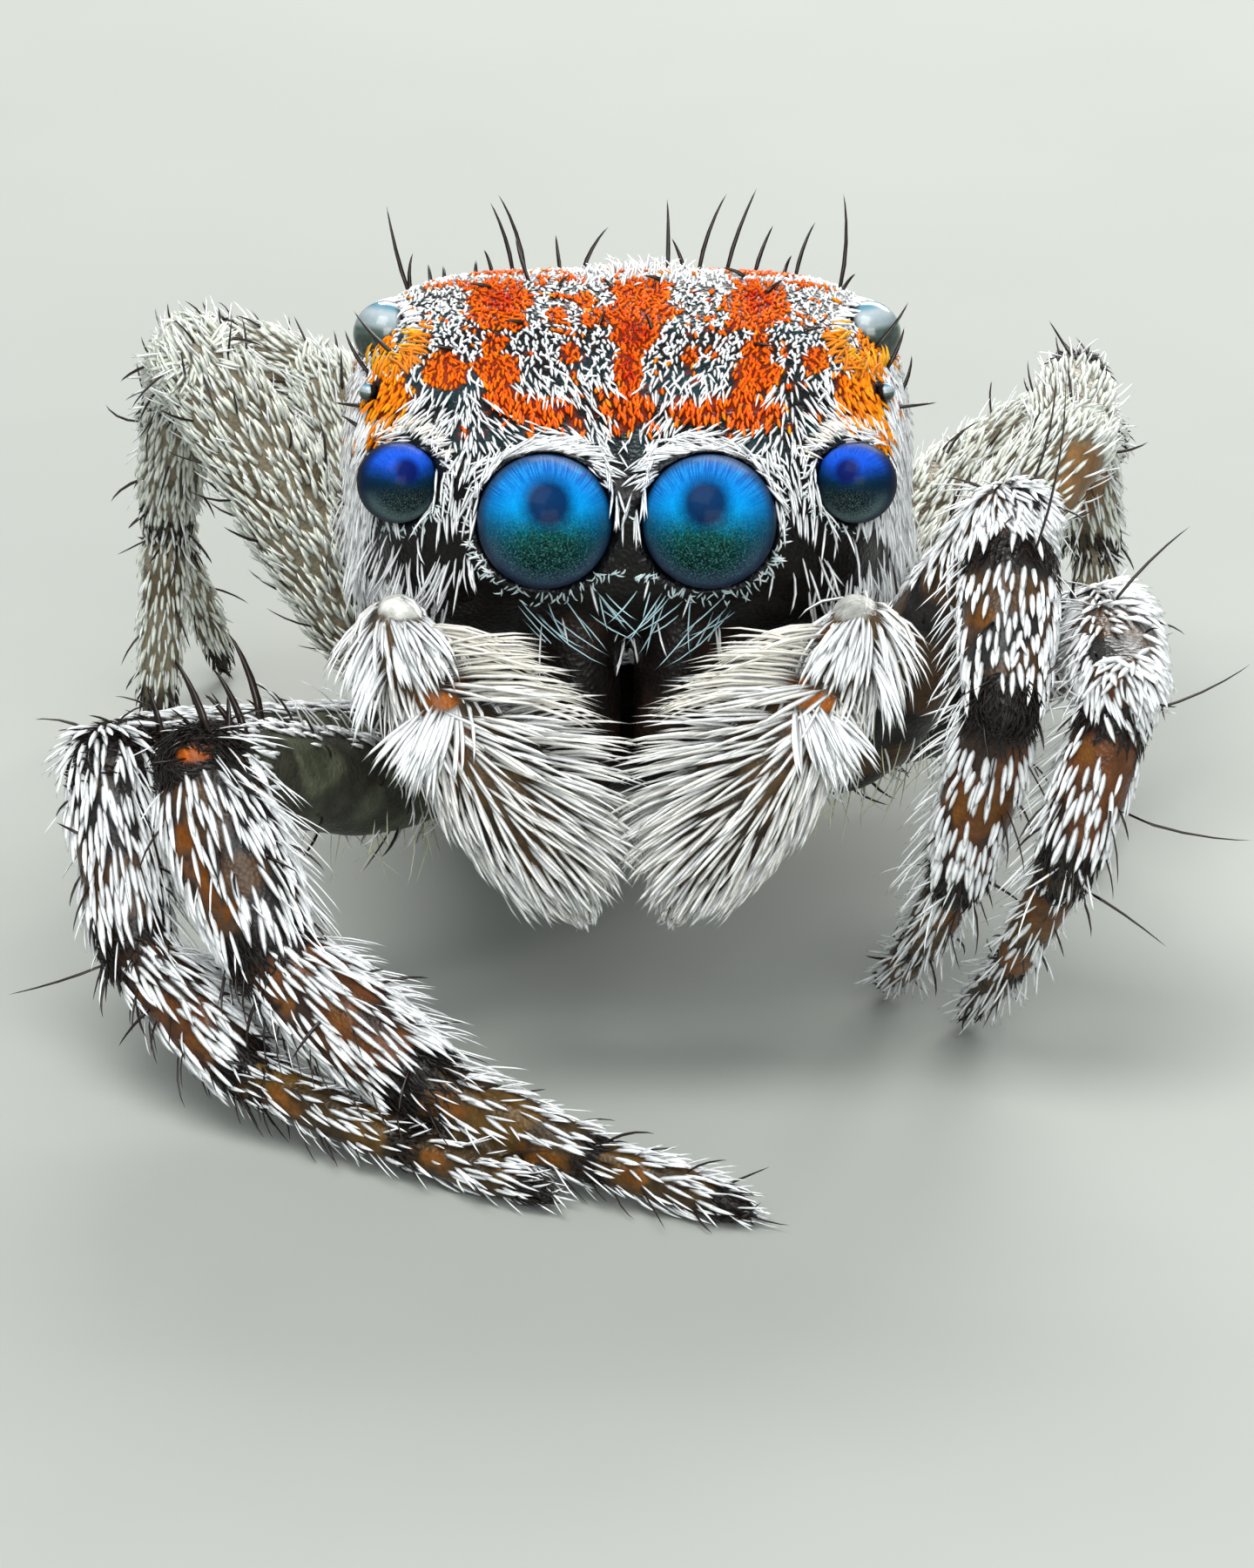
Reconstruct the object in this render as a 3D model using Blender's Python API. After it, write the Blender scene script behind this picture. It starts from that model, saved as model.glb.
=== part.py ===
"""An adult male peacock spider, standing still, at life size.

The model faces -Y with +Z up, and the spider's left side is at +X. Lengths are
written in millimetres, because the whole animal is under six millimetres long,
and the last step scales every mesh to metres. z = 0 is the floor under the feet,
and y = 0 is the front of the two large eyes until the origin is moved under the
middle of the body.
"""

import math
import random

import bmesh
import bpy
import numpy as np
from mathutils import Matrix, Vector
from mathutils.bvhtree import BVHTree

MM = 0.001
GAP = 0.01
WELD = 0.00002
ORIGIN_X = 0.0
ORIGIN_Y = 1.57
LEFT = 1
RIGHT = -1
SIDES = {"right": RIGHT, "left": LEFT}
COLLECTION = "peacock_spider"
CUTTERS = "cutters"
SMOOTH_ANGLE = 40

# Colour, roughness and metallic value of each material.
MATERIALS = {
    "white_coat": ((0.82, 0.82, 0.76), 0.70, 0.0),
    "banded_coat": ((0.62, 0.58, 0.50), 0.65, 0.0),
    "face_coat": ((0.75, 0.32, 0.12), 0.70, 0.0),
    "back_coat": ((0.35, 0.42, 0.40), 0.60, 0.0),
    "dark_cuticle": ((0.06, 0.045, 0.035), 0.35, 0.0),
    "eye_blue": ((0.01, 0.22, 0.60), 0.08, 0.0),
    "eye_dark": ((0.02, 0.03, 0.05), 0.08, 0.0),
}

# Carapace stations along the body: y, half width, lowest z, widest z, highest z.
CARAPACE = (
    (0.15, 0.26, 1.46, 1.58, 1.70),
    (0.17, 0.42, 1.38, 1.58, 1.77),
    (0.24, 0.56, 1.30, 1.56, 1.82),
    (0.36, 0.70, 1.20, 1.54, 1.86),
    (0.55, 0.78, 1.08, 1.50, 1.93),
    (0.80, 0.81, 1.00, 1.46, 2.06),
    (1.08, 0.83, 0.97, 1.42, 2.12),
    (1.35, 0.80, 0.97, 1.36, 2.04),
    (1.62, 0.72, 0.97, 1.28, 1.86),
    (1.88, 0.58, 0.98, 1.20, 1.56),
    (2.04, 0.40, 1.00, 1.14, 1.30),
    (2.10, 0.24, 1.04, 1.13, 1.22),
)
# How square a section is, from 2 for round: its half below the widest line and its half above.
CARAPACE_BOX = (3.2, 4.6)
CARAPACE_SIDES = 22

# Abdomen stations along the body: y, half width, lowest z, widest z, highest z.
ABDOMEN = (
    (2.17, 0.16, 1.00, 1.14, 1.28),
    (2.21, 0.32, 0.88, 1.15, 1.42),
    (2.35, 0.50, 0.75, 1.12, 1.55),
    (2.62, 0.64, 0.64, 1.06, 1.56),
    (3.00, 0.72, 0.55, 0.97, 1.44),
    (3.40, 0.71, 0.50, 0.88, 1.29),
    (3.80, 0.60, 0.49, 0.80, 1.11),
    (4.06, 0.42, 0.52, 0.75, 0.96),
    (4.18, 0.24, 0.58, 0.73, 0.86),
)
ABDOMEN_BOX = (2.2, 2.2)
ABDOMEN_SIDES = 18

STERNUM_MIDDLE = (0.0, 1.08, 0.80)
STERNUM_HALF = (0.36, 0.74, 0.16)
ENDITE_MIDDLE = (0.17, 0.46, 0.80)
ENDITE_HALF = (0.15, 0.15, 0.15)
PEDICEL_FRONT = (0.0, 1.98, 1.06)
PEDICEL_BACK = (0.0, 2.36, 1.10)
PEDICEL_RADIUS = 0.13
CHELICERA_TOP = (0.165, 0.34, 1.46)
CHELICERA_TIP = (0.13, 0.26, 0.76)
CHELICERA_RADIUS = 0.145
JAW_SIDES = 9
SPINNERET_ROOT = (0.08, 4.06, 0.71)
SPINNERET_TIP = (0.11, 4.32, 0.66)
SPINNERET_RADIUS = 0.055
# The block that carries the two longest spinnerets: how far it reaches past their roots, and its radii.
SPINNERET_BLOCK = (0.05, 0.06, 0.10, 0.07)

# Eyes of one side: distance from the midline, y, z, radius, and facets round.
EYE_YAW = {"front_middle": 4, "front_side": 34}
EYES = {
    "front_middle": (0.2375, 0.195, 1.649, 0.195, 16),
    "front_side": (0.6625, 0.330, 1.720, 0.118, 14),
    "small": (0.750, 0.700, 1.870, 0.028, 8),
    "rear": (0.705, 1.000, 1.950, 0.095, 12),
}

# Segment lengths below the knee and the turn at each joint as a share of the whole bend.
SHIN_LENGTHS = {
    1: (0.58, 0.62, 0.54, 0.46),
    2: (0.56, 0.56, 0.52, 0.50),
    3: (0.46, 0.62, 0.62, 0.44),
    4: (0.45, 0.60, 0.60, 0.45),
}
BEND_SHARES = {1: (0.6, 0.3, 0.1), 2: (0.6, 0.3, 0.1), 3: (0.5, 0.35, 0.15), 4: (0.5, 0.35, 0.15)}

# Place of each coxa's inner end and of the joint at its outer end, on one side.
COXA_ROOT = {1: (0.26, 0.62, 0.80), 2: (0.28, 0.92, 0.80), 3: (0.28, 1.22, 0.80), 4: (0.24, 1.50, 0.80)}
HIP = {1: (0.58, 0.54, 0.68), 2: (0.63, 0.88, 0.70), 3: (0.62, 1.20, 0.72), 4: (0.54, 1.54, 0.74)}

# Pose of each leg: the knee, the toe, and the way the shin bows.
POSE = {
    ("right", 1): ((-1.23, -0.20, 1.04), (0.31, -1.16, 0.06), (-1.0, 0.1, -1.3)),
    ("right", 2): ((-1.50, 0.20, 0.90), (-0.25, -1.05, 0.06), (-1.0, 0.1, -1.0)),
    ("right", 3): ((-1.26, 1.02, 1.86), (-1.42, 1.80, 0.06), (-0.1, 1.0, 0.3)),
    ("right", 4): ((-0.89, 2.30, 1.33), (-1.25, 3.45, 0.06), (-0.8, 0.3, 0.8)),
    ("left", 1): ((1.11, 0.20, 1.64), (0.77, 0.67, 0.06), (0.1, -1.0, 0.0)),
    ("left", 2): ((1.395, 0.35, 1.28), (1.01, 0.43, 0.06), (0.05, -1.0, 0.0)),
    ("left", 3): ((1.31, 1.85, 1.29), (1.40, 1.75, 0.06), (0.1, 1.0, 0.0)),
    ("left", 4): ((0.975, 2.40, 1.00), (1.12, 3.75, 0.06), (0.7, 0.4, 0.4)),
}
# Radius over the coat of each segment, front legs first.
LEG_RADII = {
    1: dict(coxa=0.135, femur=0.175, patella=0.165, tibia=0.140, metatarsus=0.098, tarsus=0.080),
    2: dict(coxa=0.135, femur=0.170, patella=0.160, tibia=0.135, metatarsus=0.094, tarsus=0.078),
    3: dict(coxa=0.135, femur=0.170, patella=0.150, tibia=0.120, metatarsus=0.088, tarsus=0.072),
    4: dict(coxa=0.135, femur=0.160, patella=0.140, tibia=0.115, metatarsus=0.082, tarsus=0.070),
}
# A leg whose coat stands up more than its pair's does: how many times each radius of it.
FULLER = {("right", 1): dict(patella=1.15, tibia=1.18, metatarsus=1.14, tarsus=1.08)}
LEG_SIDES = 8
HIP_SWEEP = 0.33
# The two rings of the dome at a limb's end, as turns from its side to its pole in degrees.
DOME_TURNS = (42, 74)
# Thickness of a limb along its length: share of the length and share of the full radius.
SEGMENT_SHAPE = ((0.0, 0.84), (0.25, 1.0), (0.62, 0.98), (1.0, 0.84))
HEEL_SHAPE = ((0.0, 0.90), (0.25, 1.0), (0.70, 0.95), (1.0, 0.85))
TOE_SHAPE = ((0.35, 1.0), (0.75, 0.95), (1.0, 0.80))
JAW_SHAPE = ((0.0, 0.90), (0.30, 1.0), (0.65, 0.95), (0.90, 0.80), (1.0, 0.60))
BULB_SHAPE = ((0.0, 0.66), (0.20, 0.92), (0.45, 1.0), (0.70, 0.90), (0.88, 0.66), (1.0, 0.40))

# Joints of a palp on one side, from the mouth to the tip of the bulb.
PALP_ROOT = (0.27, 0.50, 0.80)
PALP_HIP = (0.45, 0.34, 0.90)
PALP_KNEE = (0.66, 0.10, 1.38)
PALP_WRIST = (0.53, -0.12, 1.16)
PALP_BEND = (0.69, -0.04, 1.40)
BULB_MIDDLE = (0.27, -0.16, 0.88)
BULB_TIP = (0.155, -0.06, 0.59)
PALP_SWEEP = 0.16
BULB_SIDES = 11
PALP_RADII = {"coxa": 0.10, "femur": 0.115, "patella": 0.12, "tibia": 0.125, "bulb": 0.175}

# Raised rim round each of the four front eyes: its thickness, and its place as shares of the eye's radius.
RIM_THICK = 0.026
RIM_SHARE = 0.99
RIM_BACK = 0.22

# The folded side flap of the abdomen: its length along the body, the turns it covers, and its thickness.
FLAP_SPAN = (2.62, 4.02)
FLAP_TURNS = (14, -8, -30, -52)
FLAP_PROUD = 0.035
FLAP_ROWS = 6

# Locks of hair: length, width, thickness, and the angle to the surface at root and tip in degrees.
LOCKS = {
    "bulb": (0.24, 0.115, 0.030, 40, 4),
    "palp": (0.23, 0.100, 0.026, 38, 10),
    "fringe": (0.24, 0.085, 0.022, 46, 26),
    "sleeve": (0.20, 0.085, 0.022, 26, 10),
    "cheek": (0.21, 0.100, 0.022, 42, 12),
    "flank": (0.27, 0.120, 0.026, 36, 8),
}
LOCK_WIDTHS = (0.70, 1.0, 0.72)
# Spines: length, root width, and the angle to the surface at root and tip in degrees.
SPINES = {
    "thick": (0.24, 0.034, 74, 38),
    "shin": (0.20, 0.026, 50, 26),
    "bristle": (0.22, 0.020, 80, 58),
    "long": (0.28, 0.018, 82, 66),
}
SPINE_WIDTHS = (1.0, 0.80, 0.42)
STEPS = 3
SINK = 0.035
SINK_MORE = 0.4
CLEAR = 0.02
SWINGS = (0, 18, -18, 36, -36)
SEED = 4

# Spines of each leg length: share along it, and degrees round it from the back of the leg.
LEG_SPINES = {
    "femur": ("thick", ((0.60, 14), (0.74, -24), (0.86, 30))),
    "patella": ("shin", ((0.55, -85),)),
    "tibia": ("shin", ((0.30, 70), (0.55, -70))),
    "foot": ("shin", ((0.14, 80), (0.20, -90))),
}
# Long bristles that stand off the legs: node, share along it, the way they point, and length.
LONG_BRISTLES = (
    ("leg_2_right_tibia", 0.20, (-1.0, 0.0, -0.2), 0.30),
    ("leg_2_left_patella", 0.10, (1.0, 0.0, 0.9), 0.27),
    ("leg_2_left_tibia", 0.12, (1.0, 0.0, 0.6), 0.30),
    ("leg_1_left_patella", 0.35, (0.5, 0.0, 1.0), 0.30),
)
# Rows of locks on each leg length: kind, shares along it, and degrees round it from the back of the leg.
LEG_LOCKS = {
    "femur": ("sleeve", (0.56, 0.82), (120, -120)),
    "patella": ("fringe", (0.28, 0.66), (115, -135)),
    "tibia": ("fringe", (0.20, 0.60), (125, -150)),
    "foot": ("sleeve", (0.12, 0.40, 0.70), (120, -130)),
}
# Locks of each palp length: kind, shares along it, and how many round it.
PALP_LOCKS = {
    "femur": ("palp", (0.62, 0.86), 5),
    "tibia": ("palp", (0.42, 0.80), 6),
    "bulb": ("bulb", (0.08, 0.30, 0.53, 0.76), 7),
}
# Rows of locks along the abdomen: y, and degrees above the side at which they grow.
FLANK_ROWS = (
    (2.42, (80, 45)),
    (2.62, (22,)),
    (2.84, (22,)),
    (3.06, (22,)),
    (3.28, (22,)),
    (3.50, (22,)),
    (3.72, (24, -12)),
    (3.92, (62, 26, -16)),
)
FLANK_LIE = (0.0, 1.0, -0.3)
# Head bristles of one side: distance from the midline, y, sideways lean, and length.
HEAD_BRISTLES = (
    (0.62, 0.86, 0.25, 0.27),
    (0.54, 0.98, 0.10, 0.19),
    (0.40, 1.04, 0.05, 0.22),
    (0.31, 1.00, 0.42, 0.25),
    (0.25, 1.10, 0.30, 0.21),
    (0.12, 1.04, -0.20, 0.18),
    (0.35, 1.38, 0.20, 0.19),
)
HEAD_INSIDE = 1.6
BRISTLE_BACK = 0.5
# Short bristles down the side of the head: y and z, with their length and lie.
SIDE_BRISTLES = ((0.62, 1.84), (0.86, 1.72), (0.48, 1.58), (1.20, 1.80))
SIDE_BRISTLE_LENGTH = 0.15
SIDE_BRISTLE_LIE = (0.0, -0.6, 0.8)
# The fringe down each cheek: how many locks, their span along the body, height, stagger and lie.
CHEEK_LOCKS = 6
CHEEK_SPAN = (0.30, 1.60)
CHEEK_HEIGHT = 1.30
CHEEK_STAGGER = 0.12
CHEEK_LIE = (0.0, 0.25, -1.0)


def vec(values):
    return np.array(values, float)


def unit(vector):
    return vector / np.linalg.norm(vector)


def mirrored(point, side):
    """Take a point of the left side to the given side."""
    return vec((side * point[0], point[1], point[2]))


def material(name):
    made = bpy.data.materials.get(name)
    if made:
        return made
    colour, roughness, metallic = MATERIALS[name]
    made = bpy.data.materials.new(name)
    made.use_nodes = True
    shader = made.node_tree.nodes["Principled BSDF"]
    shader.inputs["Base Color"].default_value = (*colour, 1.0)
    shader.inputs["Roughness"].default_value = roughness
    shader.inputs["Metallic"].default_value = metallic
    return made


def mesh_object(name, points, faces, coat):
    mesh = bpy.data.meshes.new(name)
    mesh.from_pydata([tuple(p) for p in points], [], faces)
    mesh.materials.append(material(coat))
    made = bpy.data.objects.new(name, mesh)
    bpy.data.collections[COLLECTION].objects.link(made)
    return made


def loft(name, rings, coat):
    """Close a skin over rings of equal count, with a flat cap at both ends."""
    count = len(rings[0])
    points = [p for ring in rings for p in ring]
    faces = [tuple(range(count))[::-1]]
    for low in range(0, (len(rings) - 1) * count, count):
        for i in range(count):
            j = (i + 1) % count
            faces.append((low + i, low + j, low + count + j, low + count + i))
    faces.append(tuple(range((len(rings) - 1) * count, len(rings) * count)))
    made = mesh_object(name, points, faces, coat)
    face_outward(made.data)
    return made


def face_outward(mesh):
    work = bmesh.new()
    work.from_mesh(mesh)
    bmesh.ops.recalc_face_normals(work, faces=work.faces)
    work.to_mesh(mesh)
    work.free()


def station_ring(station, box, sides):
    """A rounded box section across the body: the half above the widest line and the half below."""
    return [station_point(station, box, 360 * i / sides, 0.0) for i in range(sides)]


def body_loft(name, stations, box, sides, coat):
    return loft(name, [station_ring(s, box, sides) for s in stations], coat)


def ball(name, middle, half, rows, coat):
    """An ellipsoid with its poles along Y."""
    bpy.ops.mesh.primitive_uv_sphere_add(segments=2 * rows, ring_count=rows, radius=1)
    made = bpy.context.object
    made.data.transform(
        Matrix.Translation(middle) @ Matrix.Diagonal((*half, 1.0)) @ Matrix.Rotation(math.pi / 2, 4, "X")
    )
    made.name = name
    made.data.name = name
    made.data.materials.append(material(coat))
    for old in made.users_collection:
        old.objects.unlink(made)
    bpy.data.collections[COLLECTION].objects.link(made)
    return made


def frames(path):
    """Tangents of a path and a pair of cross directions carried along it without twist."""
    steps = [unit(b - a) for a, b in zip(path, path[1:])]
    tangents = [steps[0]] + [unit(a + b) for a, b in zip(steps, steps[1:])] + [steps[-1]]
    start = vec((0, 0, 1)) if abs(tangents[0][2]) < 0.9 else vec((0, 1, 0))
    across = []
    for tangent in tangents:
        start = unit(start - tangent * start.dot(tangent))
        across.append(start)
    return tangents, across


def tube(name, path, radii, sides, coat):
    """A round tube through a path, with domed ends."""
    tangents, across = frames(path)
    rings = []
    for point, tangent, first, radius in zip(path, tangents, across, radii):
        second = np.cross(tangent, first)
        turns = [2 * math.pi * i / sides for i in range(sides)]
        rings.append([point + radius * (math.cos(t) * first + math.sin(t) * second) for t in turns])
    return loft(name, rings, coat)


def domed(path, radii):
    """Add a dome of two rings to each end of a tube's path."""
    path = [vec(p) for p in path]
    radii = list(radii)
    turns = [math.radians(t) for t in DOME_TURNS]
    for end, near in ((0, 1), (-1, -2)):
        out = unit(path[end] - path[near])
        radius = radii[end]
        added = [(path[end] + out * radius * math.sin(a), radius * math.cos(a)) for a in turns]
        if end == 0:
            path = [p for p, _ in reversed(added)] + path
            radii = [r for _, r in reversed(added)] + radii
        else:
            path = path + [p for p, _ in added]
            radii = radii + [r for _, r in added]
    return path, radii


def segment(name, start, end, radius, sides, coat, end_radius=None):
    """One leg segment, swollen along its middle and domed at both ends."""
    end_radius = end_radius or radius
    path = [start + (end - start) * share for share, _ in SEGMENT_SHAPE]
    radii = [(radius + (end_radius - radius) * share) * fat for share, fat in SEGMENT_SHAPE]
    return tube(name, *domed(path, radii), sides, coat)


def bezier(a, b, c, share):
    return a * (1 - share) ** 2 + b * 2 * share * (1 - share) + c * share ** 2


def femur_path(root, hip, knee, sweep):
    """Out along the coxa, round the hip in a smooth curve, and straight to the knee."""
    thigh = hip + unit(knee - hip) * sweep
    path = [bezier(root, hip, thigh, s) for s in (0.0, 0.25, 0.5, 0.75, 1.0)]
    return path + [thigh + (knee - thigh) * s for s in (0.4, 0.75, 1.0)]


def femur(name, root, hip, knee, sweep, coxa, thick, sides, coat):
    radii = (coxa, coxa, 0.95 * coxa, 0.5 * (coxa + thick), thick, thick, 0.96 * thick, 0.86 * thick)
    return tube(name, *domed(femur_path(root, hip, knee, sweep), radii), sides, coat)


def cut_plane(made, point, outward):
    """Keep the part of a closed mesh behind a plane and close the cut with a flat face."""
    work = bmesh.new()
    work.from_mesh(made.data)
    cut = bmesh.ops.bisect_plane(
        work, geom=work.verts[:] + work.edges[:] + work.faces[:], dist=WELD,
        plane_co=tuple(point), plane_no=tuple(outward), clear_outer=True,
    )
    edges = [e for e in cut["geom_cut"] if isinstance(e, bmesh.types.BMEdge)]
    bmesh.ops.holes_fill(work, edges=edges, sides=0)
    bmesh.ops.recalc_face_normals(work, faces=work.faces)
    work.to_mesh(made.data)
    work.free()


def part_at_joint(before, after, joint, way_in, way_out):
    """Part two segments at a joint by a plane that halves the bend, with a clear gap."""
    normal = unit(unit(way_in) + unit(way_out))
    cut_plane(before, joint - normal * GAP / 2, normal)
    cut_plane(after, joint + normal * GAP / 2, -normal)


def grown(made, name):
    """A copy of a solid that is larger by the gap on every side, for cutting its neighbours."""
    copy = bpy.data.objects.new(name, made.data.copy())
    bpy.data.collections[CUTTERS].objects.link(copy)
    copy.hide_render = True
    copy.display_type = "WIRE"
    work = bmesh.new()
    work.from_mesh(copy.data)
    work.normal_update()
    moves = [(v, v.normal * GAP * v.calc_shell_factor()) for v in work.verts]
    for vert, move in moves:
        vert.co += move
    work.to_mesh(copy.data)
    work.free()
    return copy


def apply_boolean(made, operation, solver, tool=None, tools=None):
    modifier = made.modifiers.new(operation.lower(), "BOOLEAN")
    modifier.operation = operation
    modifier.solver = solver
    if tools:
        modifier.operand_type = "COLLECTION"
        modifier.collection = tools
    else:
        modifier.object = tool
    bpy.context.view_layer.update()
    mesh = bpy.data.meshes.new_from_object(made.evaluated_get(bpy.context.evaluated_depsgraph_get()))
    made.modifiers.clear()
    old = made.data
    mesh.name = old.name
    made.data = mesh
    bpy.data.meshes.remove(old)


def clear_of(made, *neighbours):
    """Cut a solid back so that it meets its neighbours face to face with the gap between."""
    for neighbour in neighbours:
        cutter = grown(neighbour, "cutter_" + neighbour.name)
        apply_boolean(made, "DIFFERENCE", "EXACT", tool=cutter)
        bpy.data.objects.remove(cutter)
    keep_largest(made)


def keep_largest(made):
    """Leave only the largest closed surface of a mesh, wound so that it faces outward."""
    work = bmesh.new()
    work.from_mesh(made.data)
    bmesh.ops.remove_doubles(work, verts=work.verts, dist=WELD)
    bmesh.ops.dissolve_degenerate(work, edges=work.edges, dist=WELD)
    unseen = set(work.faces)
    islands = []
    while unseen:
        stack = [unseen.pop()]
        island = []
        while stack:
            face = stack.pop()
            island.append(face)
            for edge in face.edges:
                for other in edge.link_faces:
                    if other in unseen:
                        unseen.remove(other)
                        stack.append(other)
        islands.append(island)
    islands.sort(key=lambda island: -abs(island_volume(island)))
    spare = [face for island in islands[1:] for face in island]
    bmesh.ops.delete(work, geom=spare, context="FACES")
    loose = [v for v in work.verts if not v.link_faces]
    bmesh.ops.delete(work, geom=loose, context="VERTS")
    bmesh.ops.triangulate(work, faces=work.faces)
    work.to_mesh(made.data)
    work.free()


def island_volume(faces):
    total = 0.0
    for face in faces:
        corners = [v.co for v in face.verts]
        for b, c in zip(corners[1:], corners[2:]):
            total += corners[0].dot(b.cross(c)) / 6
    return total


def flatten_foot(made):
    """Lower points stop at the floor, which leaves a small flat under the toe."""
    for vert in made.data.vertices:
        vert.co.z = max(vert.co.z, 0.0)


def shin_chain(knee, toe, lengths, shares, bow):
    """Joints of four links from the knee to the toe, bent in one plane towards the bow."""
    along = unit(toe - knee)
    side = unit(bow - along * bow.dot(along))
    reach = np.linalg.norm(toe - knee)

    def ends(total):
        turn = 0.0
        points = [np.zeros(2)]
        for length, share in zip(lengths, (0.0, *shares)):
            turn += share * total
            points.append(points[-1] + length * vec((math.cos(turn), -math.sin(turn))))
        return points

    low, high = 0.0, math.radians(175)
    for _ in range(40):
        middle = (low + high) / 2
        if np.linalg.norm(ends(middle)[-1]) > reach:
            low = middle
        else:
            high = middle
    points = ends(low)
    tilt = -math.atan2(points[-1][1], points[-1][0])
    return [
        knee
        + along * (p[0] * math.cos(tilt) - p[1] * math.sin(tilt))
        + side * (p[0] * math.sin(tilt) + p[1] * math.cos(tilt))
        for p in points
    ]


def leg(word, number):
    """One leg in four lengths: coxa with femur, patella, tibia, and foot."""
    side = SIDES[word]
    knee, toe, bow = (vec(p) for p in POSE[word, number])
    joints = shin_chain(knee, toe, SHIN_LENGTHS[number], BEND_SHARES[number], bow)
    radius = leg_radii(word, number)
    hip = mirrored(HIP[number], side)
    root = mirrored(COXA_ROOT[number], side)
    label = "leg_%d_%s_" % (number, word)
    coat = "banded_coat" if number < 3 else "white_coat"
    thick = (radius["coxa"], radius["femur"])
    thigh = femur(label + "femur", root, hip, knee, HIP_SWEEP, *thick, LEG_SIDES, coat)
    cap = segment(label + "patella", joints[0], joints[1], radius["patella"], LEG_SIDES, coat)
    shin = segment(label + "tibia", joints[1], joints[2], radius["tibia"], LEG_SIDES, coat)
    foot = foot_tube(label + "foot", joints[2:], radius["metatarsus"], radius["tarsus"], coat)
    part_at_joint(thigh, cap, knee, knee - hip, joints[1] - knee)
    part_at_joint(cap, shin, joints[1], joints[1] - knee, joints[2] - joints[1])
    part_at_joint(shin, foot, joints[2], joints[2] - joints[1], joints[3] - joints[2])
    flatten_foot(foot)
    return [thigh, cap, shin, foot]


def leg_radii(word, number):
    fuller = FULLER.get((word, number), {})
    return {part: radius * fuller.get(part, 1.0) for part, radius in LEG_RADII[number].items()}


def foot_tube(name, joints, thick, thin, coat):
    """Metatarsus and tarsus in one gently bent length that ends in the claw tuft."""
    heel, middle, toe = joints
    path = [heel + (middle - heel) * share for share, _ in HEEL_SHAPE]
    path += [middle + (toe - middle) * share for share, _ in TOE_SHAPE]
    radii = [thick * fat for _, fat in HEEL_SHAPE] + [thin * fat for _, fat in TOE_SHAPE]
    return tube(name, *domed(path, radii), LEG_SIDES, coat)


def palp(word):
    """One palp in three lengths: femur, patella with tibia, and the bushy bulb."""
    side = SIDES[word]
    root, hip, knee, bend, wrist, middle, tip = (
        mirrored(p, side)
        for p in (PALP_ROOT, PALP_HIP, PALP_KNEE, PALP_BEND, PALP_WRIST, BULB_MIDDLE, BULB_TIP)
    )
    radius = PALP_RADII
    label = "palp_" + word + "_"
    coat = "white_coat"
    thick = (radius["coxa"], radius["femur"])
    thigh = femur(label + "femur", root, hip, knee, PALP_SWEEP, *thick, LEG_SIDES, coat)
    path = [bezier(knee, bend, wrist, s) for s in (0.0, 0.3, 0.6, 1.0)]
    radii = [0.9 * radius["patella"], radius["patella"], radius["tibia"], radius["tibia"]]
    shin = tube(label + "tibia", *domed(path, radii), LEG_SIDES, coat)
    path = [bezier(wrist, middle, tip, share) for share, _ in BULB_SHAPE]
    radii = [radius["bulb"] * fat for _, fat in BULB_SHAPE]
    bulb = tube(label + "bulb", *domed(path, radii), BULB_SIDES, coat)
    part_at_joint(thigh, shin, knee, knee - hip, bend - knee)
    part_at_joint(shin, bulb, wrist, wrist - bend, middle - wrist)
    return [thigh, shin, bulb]


def eye(kind, word):
    distance, y, z, radius, facets = EYES[kind]
    coat = "eye_blue" if kind.startswith("front") else "eye_dark"
    middle = mirrored((distance, y, z), SIDES[word])
    return ball("eye_%s_%s" % (kind, word), middle, (radius,) * 3, facets // 2, coat)


def chelicera(word):
    """One jaw, hanging under the edge of the face, with its blunt lower end turned in."""
    top = mirrored(CHELICERA_TOP, SIDES[word])
    tip = mirrored(CHELICERA_TIP, SIDES[word])
    path = [top + (tip - top) * share for share, _ in JAW_SHAPE]
    radii = [CHELICERA_RADIUS * fat for _, fat in JAW_SHAPE]
    return tube("chelicera_" + word, *domed(path, radii), JAW_SIDES, "dark_cuticle")


def sternum():
    """The plate between the coxae with the two mouth lobes in front of it."""
    plate = ball("sternum", STERNUM_MIDDLE, STERNUM_HALF, 6, "dark_cuticle")
    lobes = [
        ball("lobe_" + word, mirrored(ENDITE_MIDDLE, side), ENDITE_HALF, 4, "dark_cuticle")
        for word, side in SIDES.items()
    ]
    fuse(plate, lobes)
    return plate


def eye_rim(kind, word):
    """The raised ring of skin that holds a front eye, leaning outward with the face."""
    distance, y, z, radius, facets = EYES[kind]
    middle = mirrored((distance, y + RIM_BACK * radius, z), SIDES[word])
    bpy.ops.mesh.primitive_torus_add(
        major_segments=facets, minor_segments=4, major_radius=RIM_SHARE * radius, minor_radius=RIM_THICK
    )
    made = bpy.context.object
    yaw = SIDES[word] * math.radians(EYE_YAW[kind])
    made.data.transform(
        Matrix.Translation(middle) @ Matrix.Rotation(yaw, 4, "Z") @ Matrix.Rotation(math.pi / 2, 4, "X")
    )
    return made


def station_at(stations, y):
    """The station of a body at any place along it, read between the given ones."""
    columns = list(zip(*stations))
    return (y, *(float(np.interp(y, columns[0], column)) for column in columns[1:]))


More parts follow.
